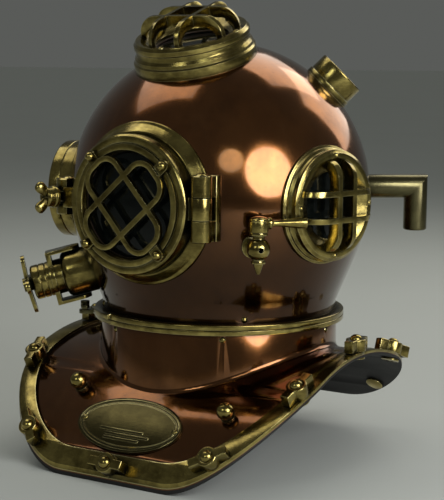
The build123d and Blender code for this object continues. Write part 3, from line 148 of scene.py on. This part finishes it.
class Paint:
    """One material: its nodes are added by kind, settings and inputs."""

    def __init__(self, name):
        self.material = bpy.data.materials.new(name)
        self.material.use_nodes = True
        self.tree = self.material.node_tree
        self.tree.nodes.clear()
        self.out = self.tree.nodes.new("ShaderNodeOutputMaterial")

    def node(self, kind, settings=None, inputs=None, output=0, stops=None):
        made = self.tree.nodes.new(kind)
        for key, value in (settings or {}).items():
            setattr(made, key, value)
        if stops:
            ramp = made.color_ramp
            while len(ramp.elements) < len(stops):
                ramp.elements.new(1)
            for element, (place, colour) in zip(ramp.elements, stops):
                element.position = place
                element.color = colour
        pairs = inputs.items() if isinstance(inputs, dict) else enumerate(inputs or [])
        for key, value in pairs:
            if isinstance(value, Wire):
                self.tree.links.new(value.socket, made.inputs[key])
            else:
                made.inputs[key].default_value = value
        return Wire(self, made.outputs[output])

    def place(self, scale=(1, 1, 1)):
        """The piece's own coordinates in metres, stretched by scale."""
        place = self.node("ShaderNodeTexCoord", output=3)
        return self.node("ShaderNodeMapping", inputs={"Vector": place, "Scale": scale})

    def noise(self, size, detail=4, rough=0.55, stretch=(1, 1, 1)):
        """Soft noise from 0 to 1 whose blotches are about size metres across."""
        return self.node(
            "ShaderNodeTexNoise",
            inputs={
                "Vector": self.place(stretch),
                "Scale": 1 / size,
                "Detail": detail,
                "Roughness": rough,
            },
        )

    def ramp(self, value, low, high):
        """0 at low, 1 at high, smooth between them, where low may also be the larger one."""
        return self.node(
            "ShaderNodeMapRange",
            {"clamp": True, "interpolation_type": "SMOOTHSTEP"},
            {"Value": value, "From Min": low, "From Max": high},
        )

    def mix(self, factor, first, second):
        """A colour between first and second."""
        return self.node(
            "ShaderNodeMix",
            {"data_type": "RGBA"},
            {0: factor, 6: first, 7: second},
            output=2,
        )

    def vector(self, operation, first, second, output=0):
        return self.node("ShaderNodeVectorMath", {"operation": operation}, [first, second], output)

    def hollow(self, reach):
        """1 in the open, down to 0 in corners within reach metres."""
        return self.node("ShaderNodeAmbientOcclusion", {"samples": 6}, {"Distance": reach}, 1)

    def worn_edge(self, radius):
        """0 on flats, rising to 1 on sharp edges of about radius metres."""
        soft = self.node("ShaderNodeBevel", {"samples": 4}, {"Radius": radius})
        flat = self.node("ShaderNodeNewGeometry", output=1)
        facing = self.vector("DOT_PRODUCT", soft, flat, 1)
        return self.ramp(1 - facing, 0.008, 0.09)

    def bump(self, height, depth, strength=1.0):
        """A normal from a height of 0 to 1 that stands for depth metres."""
        return self.node(
            "ShaderNodeBump",
            inputs={"Strength": strength, "Distance": depth, "Height": height},
        )

    def finish(self, surface):
        self.tree.links.new(surface.socket, self.out.inputs[0])
        return self.material


def rgb(red, green, blue):
    return (red, green, blue, 1)


def copper(name, outside, painted_low_shade):
    """Old dark copper, polished: brown stains, thin scratches, a slow hand-beaten waviness, and
    painted shade: nearly black in corners, darker low down, nearly black on inner faces.
    """
    paint = Paint(name)
    stains = paint.ramp(paint.noise(0.05, 6, 0.6), 0.38, 0.74)
    clouds = paint.ramp(paint.noise(0.16, 3), 0.3, 0.7)
    runs = paint.ramp(paint.noise(0.03, 4, 0.6, (1, 1, 0.22)), 0.45, 0.8)
    specks = paint.ramp(paint.noise(0.004, 5, 0.7), 0.60, 0.74)
    base = paint.mix(clouds, rgb(0.210, 0.078, 0.022), rgb(0.330, 0.130, 0.038))
    base = paint.mix(runs * 0.45, base, rgb(0.380, 0.165, 0.060))
    base = paint.mix(stains * 0.6, base, rgb(0.085, 0.033, 0.011))
    base = paint.mix(specks * 0.35, base, rgb(0.035, 0.011, 0.007))
    # Painted shade: corners and recesses darkened nearly to black by the occlusion mask.
    corners = paint.ramp(paint.hollow(0.022), 0.30, 0.88)
    base = paint.mix((1 - corners) * 0.8, base, rgb(0.022, 0.009, 0.006))
    # Painted shade: darker towards the bottom of the piece, by the share the copper's last
    # argument gives.
    low = paint.node("ShaderNodeSeparateXYZ", inputs=[paint.place()], output=2)
    base = paint.mix(paint.ramp(low, 0.19, 0.05) * painted_low_shade, base, rgb(0.026, 0.011, 0.004))
    # Painted shade: the faces the mask calls inner, the shell's inside and cut edge, are made
    # nearly black and dull.
    lit = outside(paint)
    base = paint.mix(lit, rgb(0.0020, 0.0016, 0.0014), base)
    scratches = paint.noise(0.003, 3, 0.7, (1, 1, 14))
    soiled = stains * 0.08 + specks * 0.12 + (1 - corners) * 0.2 + scratches * 0.05
    height = paint.noise(0.035, 2) * 0.8 + paint.noise(0.0012, 3) * 0.02
    surface = paint.node(
        "ShaderNodeBsdfPrincipled",
        inputs={
            "Base Color": base,
            "Metallic": lit,
            "Roughness": 0.075 + soiled + (1 - lit) * 0.5,
            "Coat Weight": lit * 0.4,
            "Coat Roughness": 0.05,
            "Normal": paint.bump(height, 0.0006, 0.42),
        },
    )
    return paint.finish(surface)


def outside_dome(paint):
    """1 on faces that look away from the middle of the dome, 0 on its inner face, where the copper
    paints a nearly black shade.
    """
    away = paint.vector("SUBTRACT", paint.place(), dome_centre)
    outward = paint.node("ShaderNodeTexCoord", output=1)
    return paint.ramp(paint.vector("DOT_PRODUCT", away, outward, 1), 0, 0.01)


def outside_saddle(paint):
    """1 on the skin of the breastplate, 0 on its inner face and its cut edge, where the copper
    paints a nearly black shade.
    """
    across = paint.vector("MULTIPLY", paint.place(), Vector((0, 1, 1)))
    away = paint.vector("DISTANCE", across, saddle_centre, 1)
    return paint.ramp(away, saddle_radius - 0.0006, saddle_radius - 0.0003)


def brass(name, fresh, aged, dirt_and_shade, polish, dullness):
    """Aged brass: fresh where it is handled, olive on its flats, painted shade in its corners,
    dirt in its pits.
    """
    paint = Paint(name)
    blotches = paint.ramp(paint.noise(0.016, 6, 0.62), 0.36, 0.70)
    streaks = paint.ramp(paint.noise(0.006, 4, 0.6, (1, 1, 3.5)), 0.42, 0.75)
    clouds = paint.ramp(paint.noise(0.045, 3), 0.35, 0.65)
    pits = paint.ramp(paint.noise(0.0013, 4, 0.7), 0.66, 0.76)
    corners = paint.ramp(paint.hollow(0.014), 0.42, 0.97)
    edges = paint.worn_edge(0.0010)
    worn = (blotches * 0.5 + streaks * 0.2 + clouds * 0.25).clamped()
    base = paint.mix(worn, aged, fresh)
    # Painted shade: corners and recesses darkened nearly to black by the occlusion mask.
    base = paint.mix(1 - corners, base, dirt_and_shade)
    base = paint.mix(pits * 0.6, base, dirt_and_shade)
    base = paint.mix(edges * polish, base, bright_brass)
    roughness = dullness + (1 - corners) * 0.25 + pits * 0.15 - worn * 0.06 - edges * 0.06
    height = paint.noise(0.0016, 4, 0.65) * 0.5 + paint.noise(0.009, 2) * 0.5 - pits * 0.4
    surface = paint.node(
        "ShaderNodeBsdfPrincipled",
        inputs={
            "Base Color": base,
            "Metallic": 1.0,
            "Roughness": roughness,
            "Normal": paint.bump(height, 0.00025, 0.6),
        },
    )
    return paint.finish(surface)


def window_glass():
    """Nearly black, nearly opaque glass, a painted shade for the dark inside behind it, with a
    faint green body and a few greasy smears.
    """
    paint = Paint("window_glass")
    smears = paint.ramp(paint.noise(0.02, 4, 0.6, (1, 1, 2.5)), 0.45, 0.8)
    surface = paint.node(
        "ShaderNodeBsdfPrincipled",
        inputs={
            # Painted shade: a nearly black, nearly opaque sheet where the window shows the inside.
            "Base Color": paint.mix(smears, rgb(0.003, 0.004, 0.0035), rgb(0.010, 0.012, 0.011)),
            "Roughness": 0.03 + smears * 0.10,
            "IOR": 1.3,
            "Alpha": 0.93,
        },
    )
    return paint.finish(surface)


def leather():
    """Greased leather, nearly black, with a fine grain."""
    paint = Paint("greased_leather")
    grain = paint.node(
        "ShaderNodeTexVoronoi", inputs={"Vector": paint.place(), "Scale": 900.0}
    )
    base = paint.mix(paint.noise(0.01), rgb(0.030, 0.019, 0.012), rgb(0.075, 0.046, 0.028))
    surface = paint.node(
        "ShaderNodeBsdfPrincipled",
        inputs={
            "Base Color": base,
            "Roughness": 0.5 + grain * 0.2,
            "Normal": paint.bump(grain, 0.0002, 0.6),
        },
    )
    return paint.finish(surface)


def insulator():
    """Dark moulded terminal block with a dull, slightly mottled skin."""
    paint = Paint("moulded_insulator")
    mottle = paint.noise(0.003, 4)
    surface = paint.node(
        "ShaderNodeBsdfPrincipled",
        inputs={
            "Base Color": paint.mix(mottle, rgb(0.020, 0.014, 0.011), rgb(0.045, 0.030, 0.022)),
            "Roughness": 0.45 + mottle * 0.15,
            "Normal": paint.bump(mottle, 0.0001, 0.4),
        },
    )
    return paint.finish(surface)


bright_brass = rgb(0.640, 0.560, 0.280)
fresh_brass = rgb(0.540, 0.430, 0.135)
aged_brass = rgb(0.125, 0.094, 0.028)
# Nearly black: painted shade in the brass's corners, and dirt in its pits.
brass_dirt_and_shade = rgb(0.012, 0.012, 0.006)
finishes = {
    "brass": brass("aged_brass", fresh_brass, aged_brass, brass_dirt_and_shade, 0.9, 0.18),
    "gasket": leather(),
    "glass": window_glass(),
    "terminal": insulator(),
}
dark_brass = brass(
    "dull_brass", rgb(0.170, 0.150, 0.072), rgb(0.075, 0.066, 0.032), brass_dirt_and_shade, 0.6, 0.28
)
plate_brass = brass(
    "nameplate_brass", rgb(0.105, 0.088, 0.032), rgb(0.050, 0.042, 0.016), brass_dirt_and_shade, 0.9, 0.24
)
own_finishes = {
    # The last number is how strongly painted shade darkens each shell towards the bottom.
    "bonnet_shell": copper("dome_copper", outside_dome, 0.86),
    "breastplate_shell": copper("breastplate_copper", outside_saddle, 0.2),
    "latch_pawl": dark_brass,
    "latch_post": dark_brass,
    "non_return_seat": dark_brass,
    "non_return_disc": dark_brass,
    "exhaust_disc": dark_brass,
    "air_inlet_elbow": dark_brass,
    "nameplate": dark_brass,
}


def dress_frame():
    """Smooth shading with softened edges and a finish for every solid of the frame."""
    slots = {part["node"]: part["material_slot"] for part in frame["record"]["subparts"]}
    for name, piece in nodes.items():
        weld = piece.modifiers.new("weld", "WELD")
        weld.merge_threshold = weld_gap
        edges = piece.modifiers.new("edges", "BEVEL")
        edges.limit_method = "ANGLE"
        edges.angle_limit = math.radians(edge_angle)
        edges.width = edge_width
        edges.segments = 2
        edges.harden_normals = False
        split = piece.modifiers.new("split", "EDGE_SPLIT")
        split.split_angle = math.radians(split_angle)
        for face in piece.data.polygons:
            face.use_smooth = True
        finish = own_finishes.get(name) or finishes[slots[name]]
        for slot in piece.material_slots:
            slot.material = finish


def face_up(origin, ahead, side):
    """A place at origin whose Z runs along ahead and whose X leans to side."""
    z = ahead.normalized()
    x = (side - z * side.dot(z)).normalized()
    turn = Matrix((x, z.cross(x), z)).transposed().to_4x4()
    return Matrix.Translation(origin) @ turn


def round_the_neck(degrees, reach, height):
    """A point at an angle round the helmet's own axis, 0 at the face, in millimetres."""
    angle = math.radians(degrees)
    return Vector((reach * math.sin(angle), -reach * math.cos(angle), height)) * mm


def turned(name, profile, steps=96):
    """A lathe piece: a circle drawn out and widened from one (radius, level) to the next."""
    bpy.ops.object.select_all(action="DESELECT")
    radius, level = profile[0]
    bpy.ops.mesh.primitive_circle_add(
        vertices=steps, radius=radius * mm, location=(0, 0, level * mm)
    )
    piece = bpy.context.object
    piece.name = name
    bpy.ops.object.transform_apply(location=True)
    bpy.ops.object.mode_set(mode="EDIT")
    bpy.ops.mesh.select_all(action="SELECT")
    for wider, higher in profile[1:]:
        step = (0, 0, (higher - level) * mm)
        bpy.ops.mesh.extrude_region_move(TRANSFORM_OT_translate={"value": step})
        bpy.ops.transform.resize(value=(wider / radius, wider / radius, 1))
        radius, level = wider, higher
    bpy.ops.mesh.select_all(action="SELECT")
    bpy.ops.mesh.remove_doubles(threshold=3 * pole * mm)
    bpy.ops.mesh.normals_make_consistent(inside=False)
    bpy.ops.object.mode_set(mode="OBJECT")
    return piece


def rounded(piece, width, angle=30):
    """Rolls the sharp edges of a piece over."""
    edges = piece.modifiers.new("round", "BEVEL")
    edges.limit_method = "ANGLE"
    edges.angle_limit = math.radians(angle)
    edges.width = width * mm
    edges.segments = 3
    bpy.context.view_layer.objects.active = piece
    bpy.ops.object.modifier_apply(modifier="round")
    return piece


def put(piece, place):
    """Moves a piece to its place and leaves its object at the origin."""
    bpy.ops.object.select_all(action="DESELECT")
    piece.select_set(True)
    bpy.context.view_layer.objects.active = piece
    piece.matrix_world = place
    bpy.ops.object.transform_apply(location=True, rotation=True, scale=True)
    return piece


def joined(pieces):
    """One piece made of several."""
    bpy.ops.object.select_all(action="DESELECT")
    for piece in pieces:
        piece.select_set(True)
    bpy.context.view_layer.objects.active = pieces[0]
    bpy.ops.object.join()
    return pieces[0]


def block(name, low, high, edge):
    """A squared block between two corners in millimetres, its edges rolled over."""
    low, high = Vector(low) * mm, Vector(high) * mm
    bpy.ops.object.select_all(action="DESELECT")
    bpy.ops.mesh.primitive_cube_add(size=1, location=(low + high) / 2, scale=high - low)
    piece = bpy.context.object
    piece.name = name
    bpy.ops.object.transform_apply(location=True, rotation=True, scale=True)
    return rounded(piece, edge)


def finished(piece, body, finish, *replaced):
    """Smooths a piece, gives it its metal and hands it to its body."""
    bpy.ops.object.select_all(action="DESELECT")
    piece.select_set(True)
    bpy.context.view_layer.objects.active = piece
    bpy.ops.object.shade_smooth_by_angle(angle=math.radians(smooth_angle))
    piece.data.materials.clear()
    piece.data.materials.append(finish)
    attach(piece, body)
    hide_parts(*replaced)


def make_nameplate():
    """A bare oval plate with a raised border and a fine bead, bent to the breastplate."""
    bpy.ops.object.select_all(action="DESELECT")
    bpy.ops.mesh.primitive_circle_add(vertices=128, radius=1, fill_type="NGON")
    plate = bpy.context.object
    plate.name = "bare_nameplate"
    bpy.ops.object.mode_set(mode="EDIT")
    bpy.ops.mesh.select_all(action="SELECT")
    bpy.ops.transform.resize(value=(plate_across * mm, plate_up * mm, 1))
    for inward, upward in (
        (0, 2.6), (0.5, 0.3), (1.7, 0), (0.6, -1.3), (2.2, 0), (0.5, 0.5), (0.5, -0.5)
    ):
        if inward:
            bpy.ops.mesh.inset(thickness=inward * mm, depth=0)
            bpy.ops.transform.translate(value=(0, 0, upward * mm))
        else:
            move = {"value": (0, 0, upward * mm)}
            bpy.ops.mesh.extrude_region_move(TRANSFORM_OT_translate=move)
    rows = plate_up // plate_strip
    for row in range(-rows, rows + 1):
        bpy.ops.mesh.select_all(action="SELECT")
        bpy.ops.mesh.bisect(plane_co=(0, row * plate_strip * mm, 0), plane_no=(0, 1, 0))
    bpy.ops.mesh.select_all(action="SELECT")
    bpy.ops.mesh.normals_make_consistent(inside=False)
    bpy.ops.object.mode_set(mode="OBJECT")
    fields = [(-30, 20, -7.5), (-22, 28, -12), (-22, 18, -16.5)]
    bars = [block("field", (a, y - 1.2, 1.2), (b, y + 1.2, 2.1), 0.25) for a, b, y in fields]
    plate = joined([plate] + bars)
    for point in plate.data.vertices:
        turn = point.co.y / saddle_radius
        reach = saddle_radius + point.co.z
        point.co.y = reach * math.sin(turn)
        point.co.z = reach * math.cos(turn) - saddle_radius
    plate = put(plate, on_saddle(0, plate_angle, 0))
    finished(plate, "breastplate", plate_brass, "nameplate")


def on_saddle(across, degrees, lift):
    """A place on the breastplate, this far across and forward, Z off its skin."""
    angle = math.radians(degrees)
    off = Vector((0, -math.sin(angle), math.cos(angle)))
    origin = saddle_centre + off * (saddle_radius + lift * mm) + Vector((across * mm, 0, 0))
    return face_up(origin, off, Vector((1, 0, 0)))


def make_plate_screws():
    """Two slotted round heads at the ends of the nameplate."""
    screws = []
    for side, slot_turn in ((-1, 25), (1, 70)):
        head = [(pole, -1.2), (1.4, -1.2), (1.4, 0), (3, 0), (3, 0.5), (2.6, 1.15), (1.8, 1.6)]
        head = turned("plate_screw", head + [(0.9, 1.82), (pole, 1.88)], 40)
        bpy.ops.object.select_all(action="DESELECT")
        bpy.ops.mesh.primitive_cube_add(
            size=1,
            location=(0, 0, 2 * mm),
            rotation=(0, 0, math.radians(slot_turn)),
            scale=(8 * mm, 0.7 * mm, 1.6 * mm),
        )
        blade = bpy.context.object
        slot = head.modifiers.new("slot", "BOOLEAN")
        slot.operation = "DIFFERENCE"
        slot.object = blade
        bpy.context.view_layer.objects.active = head
        bpy.ops.object.modifier_apply(modifier="slot")
        bpy.data.objects.remove(blade)
        place = on_saddle(side * screw_across, plate_angle, plate_screw_lift)
        screws.append(put(head, place))
    finished(joined(screws), "breastplate", finishes["brass"], "nameplate_screws")


def make_wing_nut():
    """The door's wing nut: a stepped boss with two thick petal ears."""
    lean = math.radians(bolt_lean)
    ahead = Vector((-math.sin(lean), -math.cos(lean), 0))
    up = Vector((0, 0, 1))
    pivot = Vector(bolt_pivot) * mm
    boss = [(4.1, 15.5), (10.5, 15.5), (10.5, 18.6), (9.5, 19.7), (9.2, 25.6), (7.6, 27.4)]
    boss = turned("wing_nut", boss + [(5.4, 27.4), (4.1, 26.4), (4.1, 15.5)], 72)
    parts = [put(rounded(boss, 0.45), face_up(pivot, ahead, up))]
    foot = pivot + ahead * wing_foot * mm
    for side in (1, -1):
        rise = math.radians(wing_rise)
        way = ahead * math.cos(rise) + up * side * math.sin(rise)
        petal = [(pole, 0), (4.6, 0), (4.4, 5), (4.9, 10), (5.6, 14.5), (5.3, 17.3), (3.6, 19.2)]
        petal = turned("petal", petal + [(1.6, 19.9), (pole, 20)], 40)
        place = face_up(foot, way, ahead.cross(up)) @ Matrix.Diagonal((wing_flatness, 1, 1, 1))
        parts.append(put(petal, place))
    finished(joined(parts), "lock_nut", finishes["brass"], "lock_wing_nut")


def make_cock_key():
    """The spit cock's plug, its round cap and its tapered lever."""
    foot = round_the_neck(cock_angle, cock_reach, 0)
    plug = [(pole, 76.3), (4, 76.3), (4, 97.4), (8.5, 97.4), (9, 98.1), (9, 106.4), (8.5, 107)]
    plug += [(8.5, 107.6), (9, 108.2), (8.7, 109.6), (6.8, 111), (3.6, 111.9), (pole, 112.2)]
    plug = turned("cock_key_piece", plug, 64)
    parts = [put(rounded(plug, 0.3), Matrix.Translation(foot))]
    turn = math.radians(cock_angle)
    way = Vector((math.cos(turn), math.sin(turn), 0))
    lever = [(pole, 4), (4.4, 7.6), (5.5, 9.4), (5.5, 11.2), (3.3, 12.4), (2.7, 14.2), (2.9, 19)]
    lever = turned("lever", lever + [(5.1, 38), (5.3, 44.2), (4.5, 45), (pole, 45)], 48)
    grip = foot + Vector((0, 0, lever_level * mm))
    parts.append(put(rounded(lever, 0.3), face_up(grip, way, Vector((0, 0, 1)))))
    finished(joined(parts), "cock_key", finishes["brass"], "spit_cock_key")


def make_right_window():
    """The deep frame of the window on the diver's right: flange, tall rim and dished face."""
    flange = [(38.6, 147.2), (38.6, 138.5), (43, 138.2), (56.2, 137.4), (56.2, 141.3)]
    flange += [(55.2, 142.4), (50.8, 143.4), (49.8, 144.6), (49.8, 155.8), (49.2, 156.3)]
    rim = [(49.2, 157.0), (49.8, 157.5), (49.8, 167), (48.9, 168.4), (46, 168.4), (45, 167.2)]
    dish = [(45, 157.4), (33, 150.6), (32, 149.4), (32, 147.2), (38.6, 147.2)]
    frame_piece = rounded(turned("right_window_rim", flange + rim + dish, 128), 0.4)
    angle = math.radians(right_window_angle)
    way = Vector((math.sin(angle), -math.cos(angle), 0))
    place = face_up(Vector((0, 0, window_level * mm)), way, Vector((0, 0, 1)))
    finished(put(frame_piece, place), "bonnet", finishes["brass"], "right_window_frame")


def make_seat():
    """The door's seat: a coned flange, two hinge knuckles and the two ears of the swing bolt."""
    step = [(56, 133), (56, 141), (59, 141), (59, 139.4), (64.5, 139.4), (64.5, 141), (67, 141)]
    cone = [(68.2, 140.2), (73.4, 133.9), (74.6, 132.7), (76.2, 132), (77, 131.2), (77, 127.4)]
    flange = turned("door_seat", step + cone + [(60, 136.2), (60, 133), (56, 133)], 144)
    forward = face_up(Vector((0, 0, door_level * mm)), Vector((0, -1, 0)), Vector((0, 0, 1)))
    parts = [put(rounded(flange, 0.5), forward)]
    end = knuckle_length
    knuckle = [(4.1, 0), (9.1, 0), (9.8, 0.7), (9.8, end - 0.7), (9.1, end), (4.1, end), (4.1, 0)]
    for foot in knuckle_feet:
        place = Matrix.Translation(Vector((*hinge_place, foot)) * mm)
        parts.append(put(turned("knuckle", knuckle, 64), place))
        low, high = (76, -144.5, foot + 0.4), (84.2, -132, foot + end - 0.4)
        parts.append(block("cheek", low, high, 0.8))
    foot, top = knuckle_feet[0], knuckle_feet[1] + end
    parts.append(block("leaf", (58, -134.8, foot), (84.6, -126.5, top), 1.0))
    end = ear_thickness
    ear = [(3.6, 0), (10, 0), (11, 1), (11, end - 1), (10, end), (3.6, end), (3.6, 0)]
    for foot in ear_feet:
        lug = turned("ear", ear, 64)
        bpy.ops.object.mode_set(mode="EDIT")
        bpy.ops.mesh.select_all(action="SELECT")
        bpy.ops.mesh.bisect(
            plane_co=(ear_flat * mm, 0, 0), plane_no=(1, 0, 0), use_fill=True, clear_outer=True
        )
        bpy.ops.object.mode_set(mode="OBJECT")
        place = Matrix.Translation(Vector((*bolt_pivot[:2], foot)) * mm)
        parts.append(put(lug, place))
        low, high = (bolt_pivot[0], -140.6, foot), (-58, -130.6, foot + end)
        parts.append(block("ear_foot", low, high, 1.2))
    finished(joined(parts), "bonnet", finishes["brass"], "faceplate_seat")


def make_exhaust():
    """The exhaust valve's barrel with its rolled shoulder, and the ribbed cap on it."""
    turn = math.radians(exhaust_angle)
    drop = math.radians(exhaust_drop)
    ahead = Vector((math.sin(turn), -math.cos(turn), -math.tan(drop)))
    root = round_the_neck(exhaust_angle, exhaust_reach, exhaust_level)
    place = face_up(root, ahead, Vector((0, 0, 1)))
    barrel = [(13.1, -14), (23.2, -14), (23.2, 27.6), (22.5, 30.4), (20.6, 32.7), (17.6, 34)]
    barrel = turned("exhaust_barrel", barrel + [(13.1, 34), (13.1, -14)])
    finished(put(rounded(barrel, 0.4), place), "bonnet", finishes["brass"], "exhaust_body")
    cap = [(10, 28), (12.8, 28), (12.8, 34.2), (17.4, 34.2)]
    for level in (50.4, 57):
        cap += [(17.4, level - 0.6), (16.7, level - 0.1), (16.7, level + 0.5), (17.4, level + 1)]
    cap += [(17.4, 63.6), (16.4, 65.2), (14.2, 66), (3.3, 66), (3.3, 58), (10, 58), (10, 28)]
    cap = turned("exhaust_cap_piece", cap)
    finished(put(rounded(cap, 0.25), place), "bonnet", finishes["brass"], "exhaust_cap")


def set_camera():
    """The camera at the photograph's place, looking as it did."""
    turn = camera_azimuth + camera_yaw
    ahead = Vector(
        (
            -math.sin(turn) * math.cos(camera_pitch),
            math.cos(turn) * math.cos(camera_pitch),
            -math.sin(camera_pitch),
        )
    )
    level = Vector((math.cos(turn), math.sin(turn), 0))
    upright = level.cross(ahead)
    right = level * math.cos(camera_roll) + upright * math.sin(camera_roll)
    up = upright * math.cos(camera_roll) - level * math.sin(camera_roll)
    data = bpy.data.cameras.new("camera")
    data.sensor_width = sensor
    data.lens = sensor * lens_pixels / image_height
    data.clip_start = near_clip
    data.clip_end = far_clip
    camera = bpy.data.objects.new("camera", data)
    bpy.context.scene.collection.objects.link(camera)
    spot = (
        camera_distance * math.sin(camera_azimuth),
        -camera_distance * math.cos(camera_azimuth),
        camera_height,
    )
    aim = Matrix((right, up, -ahead)).transposed().to_4x4()
    camera.matrix_world = Matrix.Translation(spot) @ aim
    bpy.context.scene.camera = camera
    return right, up, ahead


def set_light(right, up, ahead):
    """Three round softboxes on the camera's side, three square ones above, and a pale room.

    The room is darker where the camera, a reflection or a view through glass shows it. Each
    softbox has its way from the dome (across, above, away from the camera), its distance and
    size in metres, its power and its tint."""
    room_light = rgb(0.22, 0.225, 0.21)
    room_seen = rgb(0.100, 0.104, 0.098)
    warm = (1.0, 0.97, 0.90)
    world = bpy.data.worlds.new("room")
    world.use_nodes = True
    background = world.node_tree.nodes["Background"]
    background.inputs[0].default_value = room_light
    background.inputs[1].default_value = 1.0
    seen = world.node_tree.nodes.new("ShaderNodeBackground")
    seen.inputs[0].default_value = room_seen
    path = world.node_tree.nodes.new("ShaderNodeLightPath")
    link = world.node_tree.links.new
    kind = path.outputs["Is Camera Ray"]
    for ray in ("Is Glossy Ray", "Is Transmission Ray"):
        either = world.node_tree.nodes.new("ShaderNodeMath")
        either.operation = "MAXIMUM"
        link(kind, either.inputs[0])
        link(path.outputs[ray], either.inputs[1])
        kind = either.outputs[0]
    both = world.node_tree.nodes.new("ShaderNodeMixShader")
    link(kind, both.inputs[0])
    link(background.outputs[0], both.inputs[1])
    link(seen.outputs[0], both.inputs[2])
    link(both.outputs[0], world.node_tree.nodes["World Output"].inputs[0])
    bpy.context.scene.world = world
    boxes = [
        ("key", (0.57, 0.20, -0.80), 1.8, 1.12, 26, (1.0, 1.0, 1.0)),
        ("window", (0.13, 0.34, -0.93), 2.3, 0.70, 3, (0.92, 1.0, 0.92)),
        ("left_box", (-0.38, 0.90, 0.12), 2.0, 1.30, 9, warm),
        ("middle_box", (0.325, 0.787, 0.42), 2.1, 1.20, 9, warm),
        ("right_box", (0.635, 0.546, 0.48), 2.1, 1.20, 9, warm),
        ("side_box", (-0.50, 0.30, -0.80), 2.3, 0.60, 4, (0.94, 1.0, 0.92)),
    ]
    for name, (across, above, along), far, size, power, tint in boxes:
        data = bpy.data.lights.new(name, "AREA")
        data.shape = "SQUARE" if name in ("left_box", "middle_box", "right_box") else "DISK"
        data.size = size
        data.energy = power
        data.color = tint
        lamp = bpy.data.objects.new(name, data)
        bpy.context.scene.collection.objects.link(lamp)
        way = (right * across + up * above + ahead * along).normalized()
        lamp.location = dome_centre + way * far
        lamp.rotation_mode = "QUATERNION"
        lamp.rotation_quaternion = way.to_track_quat("Z", "Y")


def set_floor():
    """A plain pale floor, wide enough for every view."""
    bpy.ops.mesh.primitive_circle_add(
        vertices=96, radius=floor_radius, fill_type="NGON", location=(0, 0, floor_level)
    )
    floor = bpy.context.object
    floor.name = "floor"
    bpy.ops.object.transform_apply(location=True)
    paint = Paint("pale_floor")
    tone = paint.mix(paint.noise(0.4), rgb(0.40, 0.42, 0.40), rgb(0.43, 0.45, 0.43))
    surface = paint.node(
        "ShaderNodeBsdfPrincipled", inputs={"Base Color": tone, "Roughness": 0.7}
    )
    floor.data.materials.append(paint.finish(surface))


dress_frame()
make_nameplate()
make_plate_screws()
make_wing_nut()
make_cock_key()
make_right_window()
make_seat()
make_exhaust()
set_light(*set_camera())
bpy.ops.object.select_all(action="DESELECT")
set_floor()

bpy.context.scene.view_settings.view_transform = "Standard"
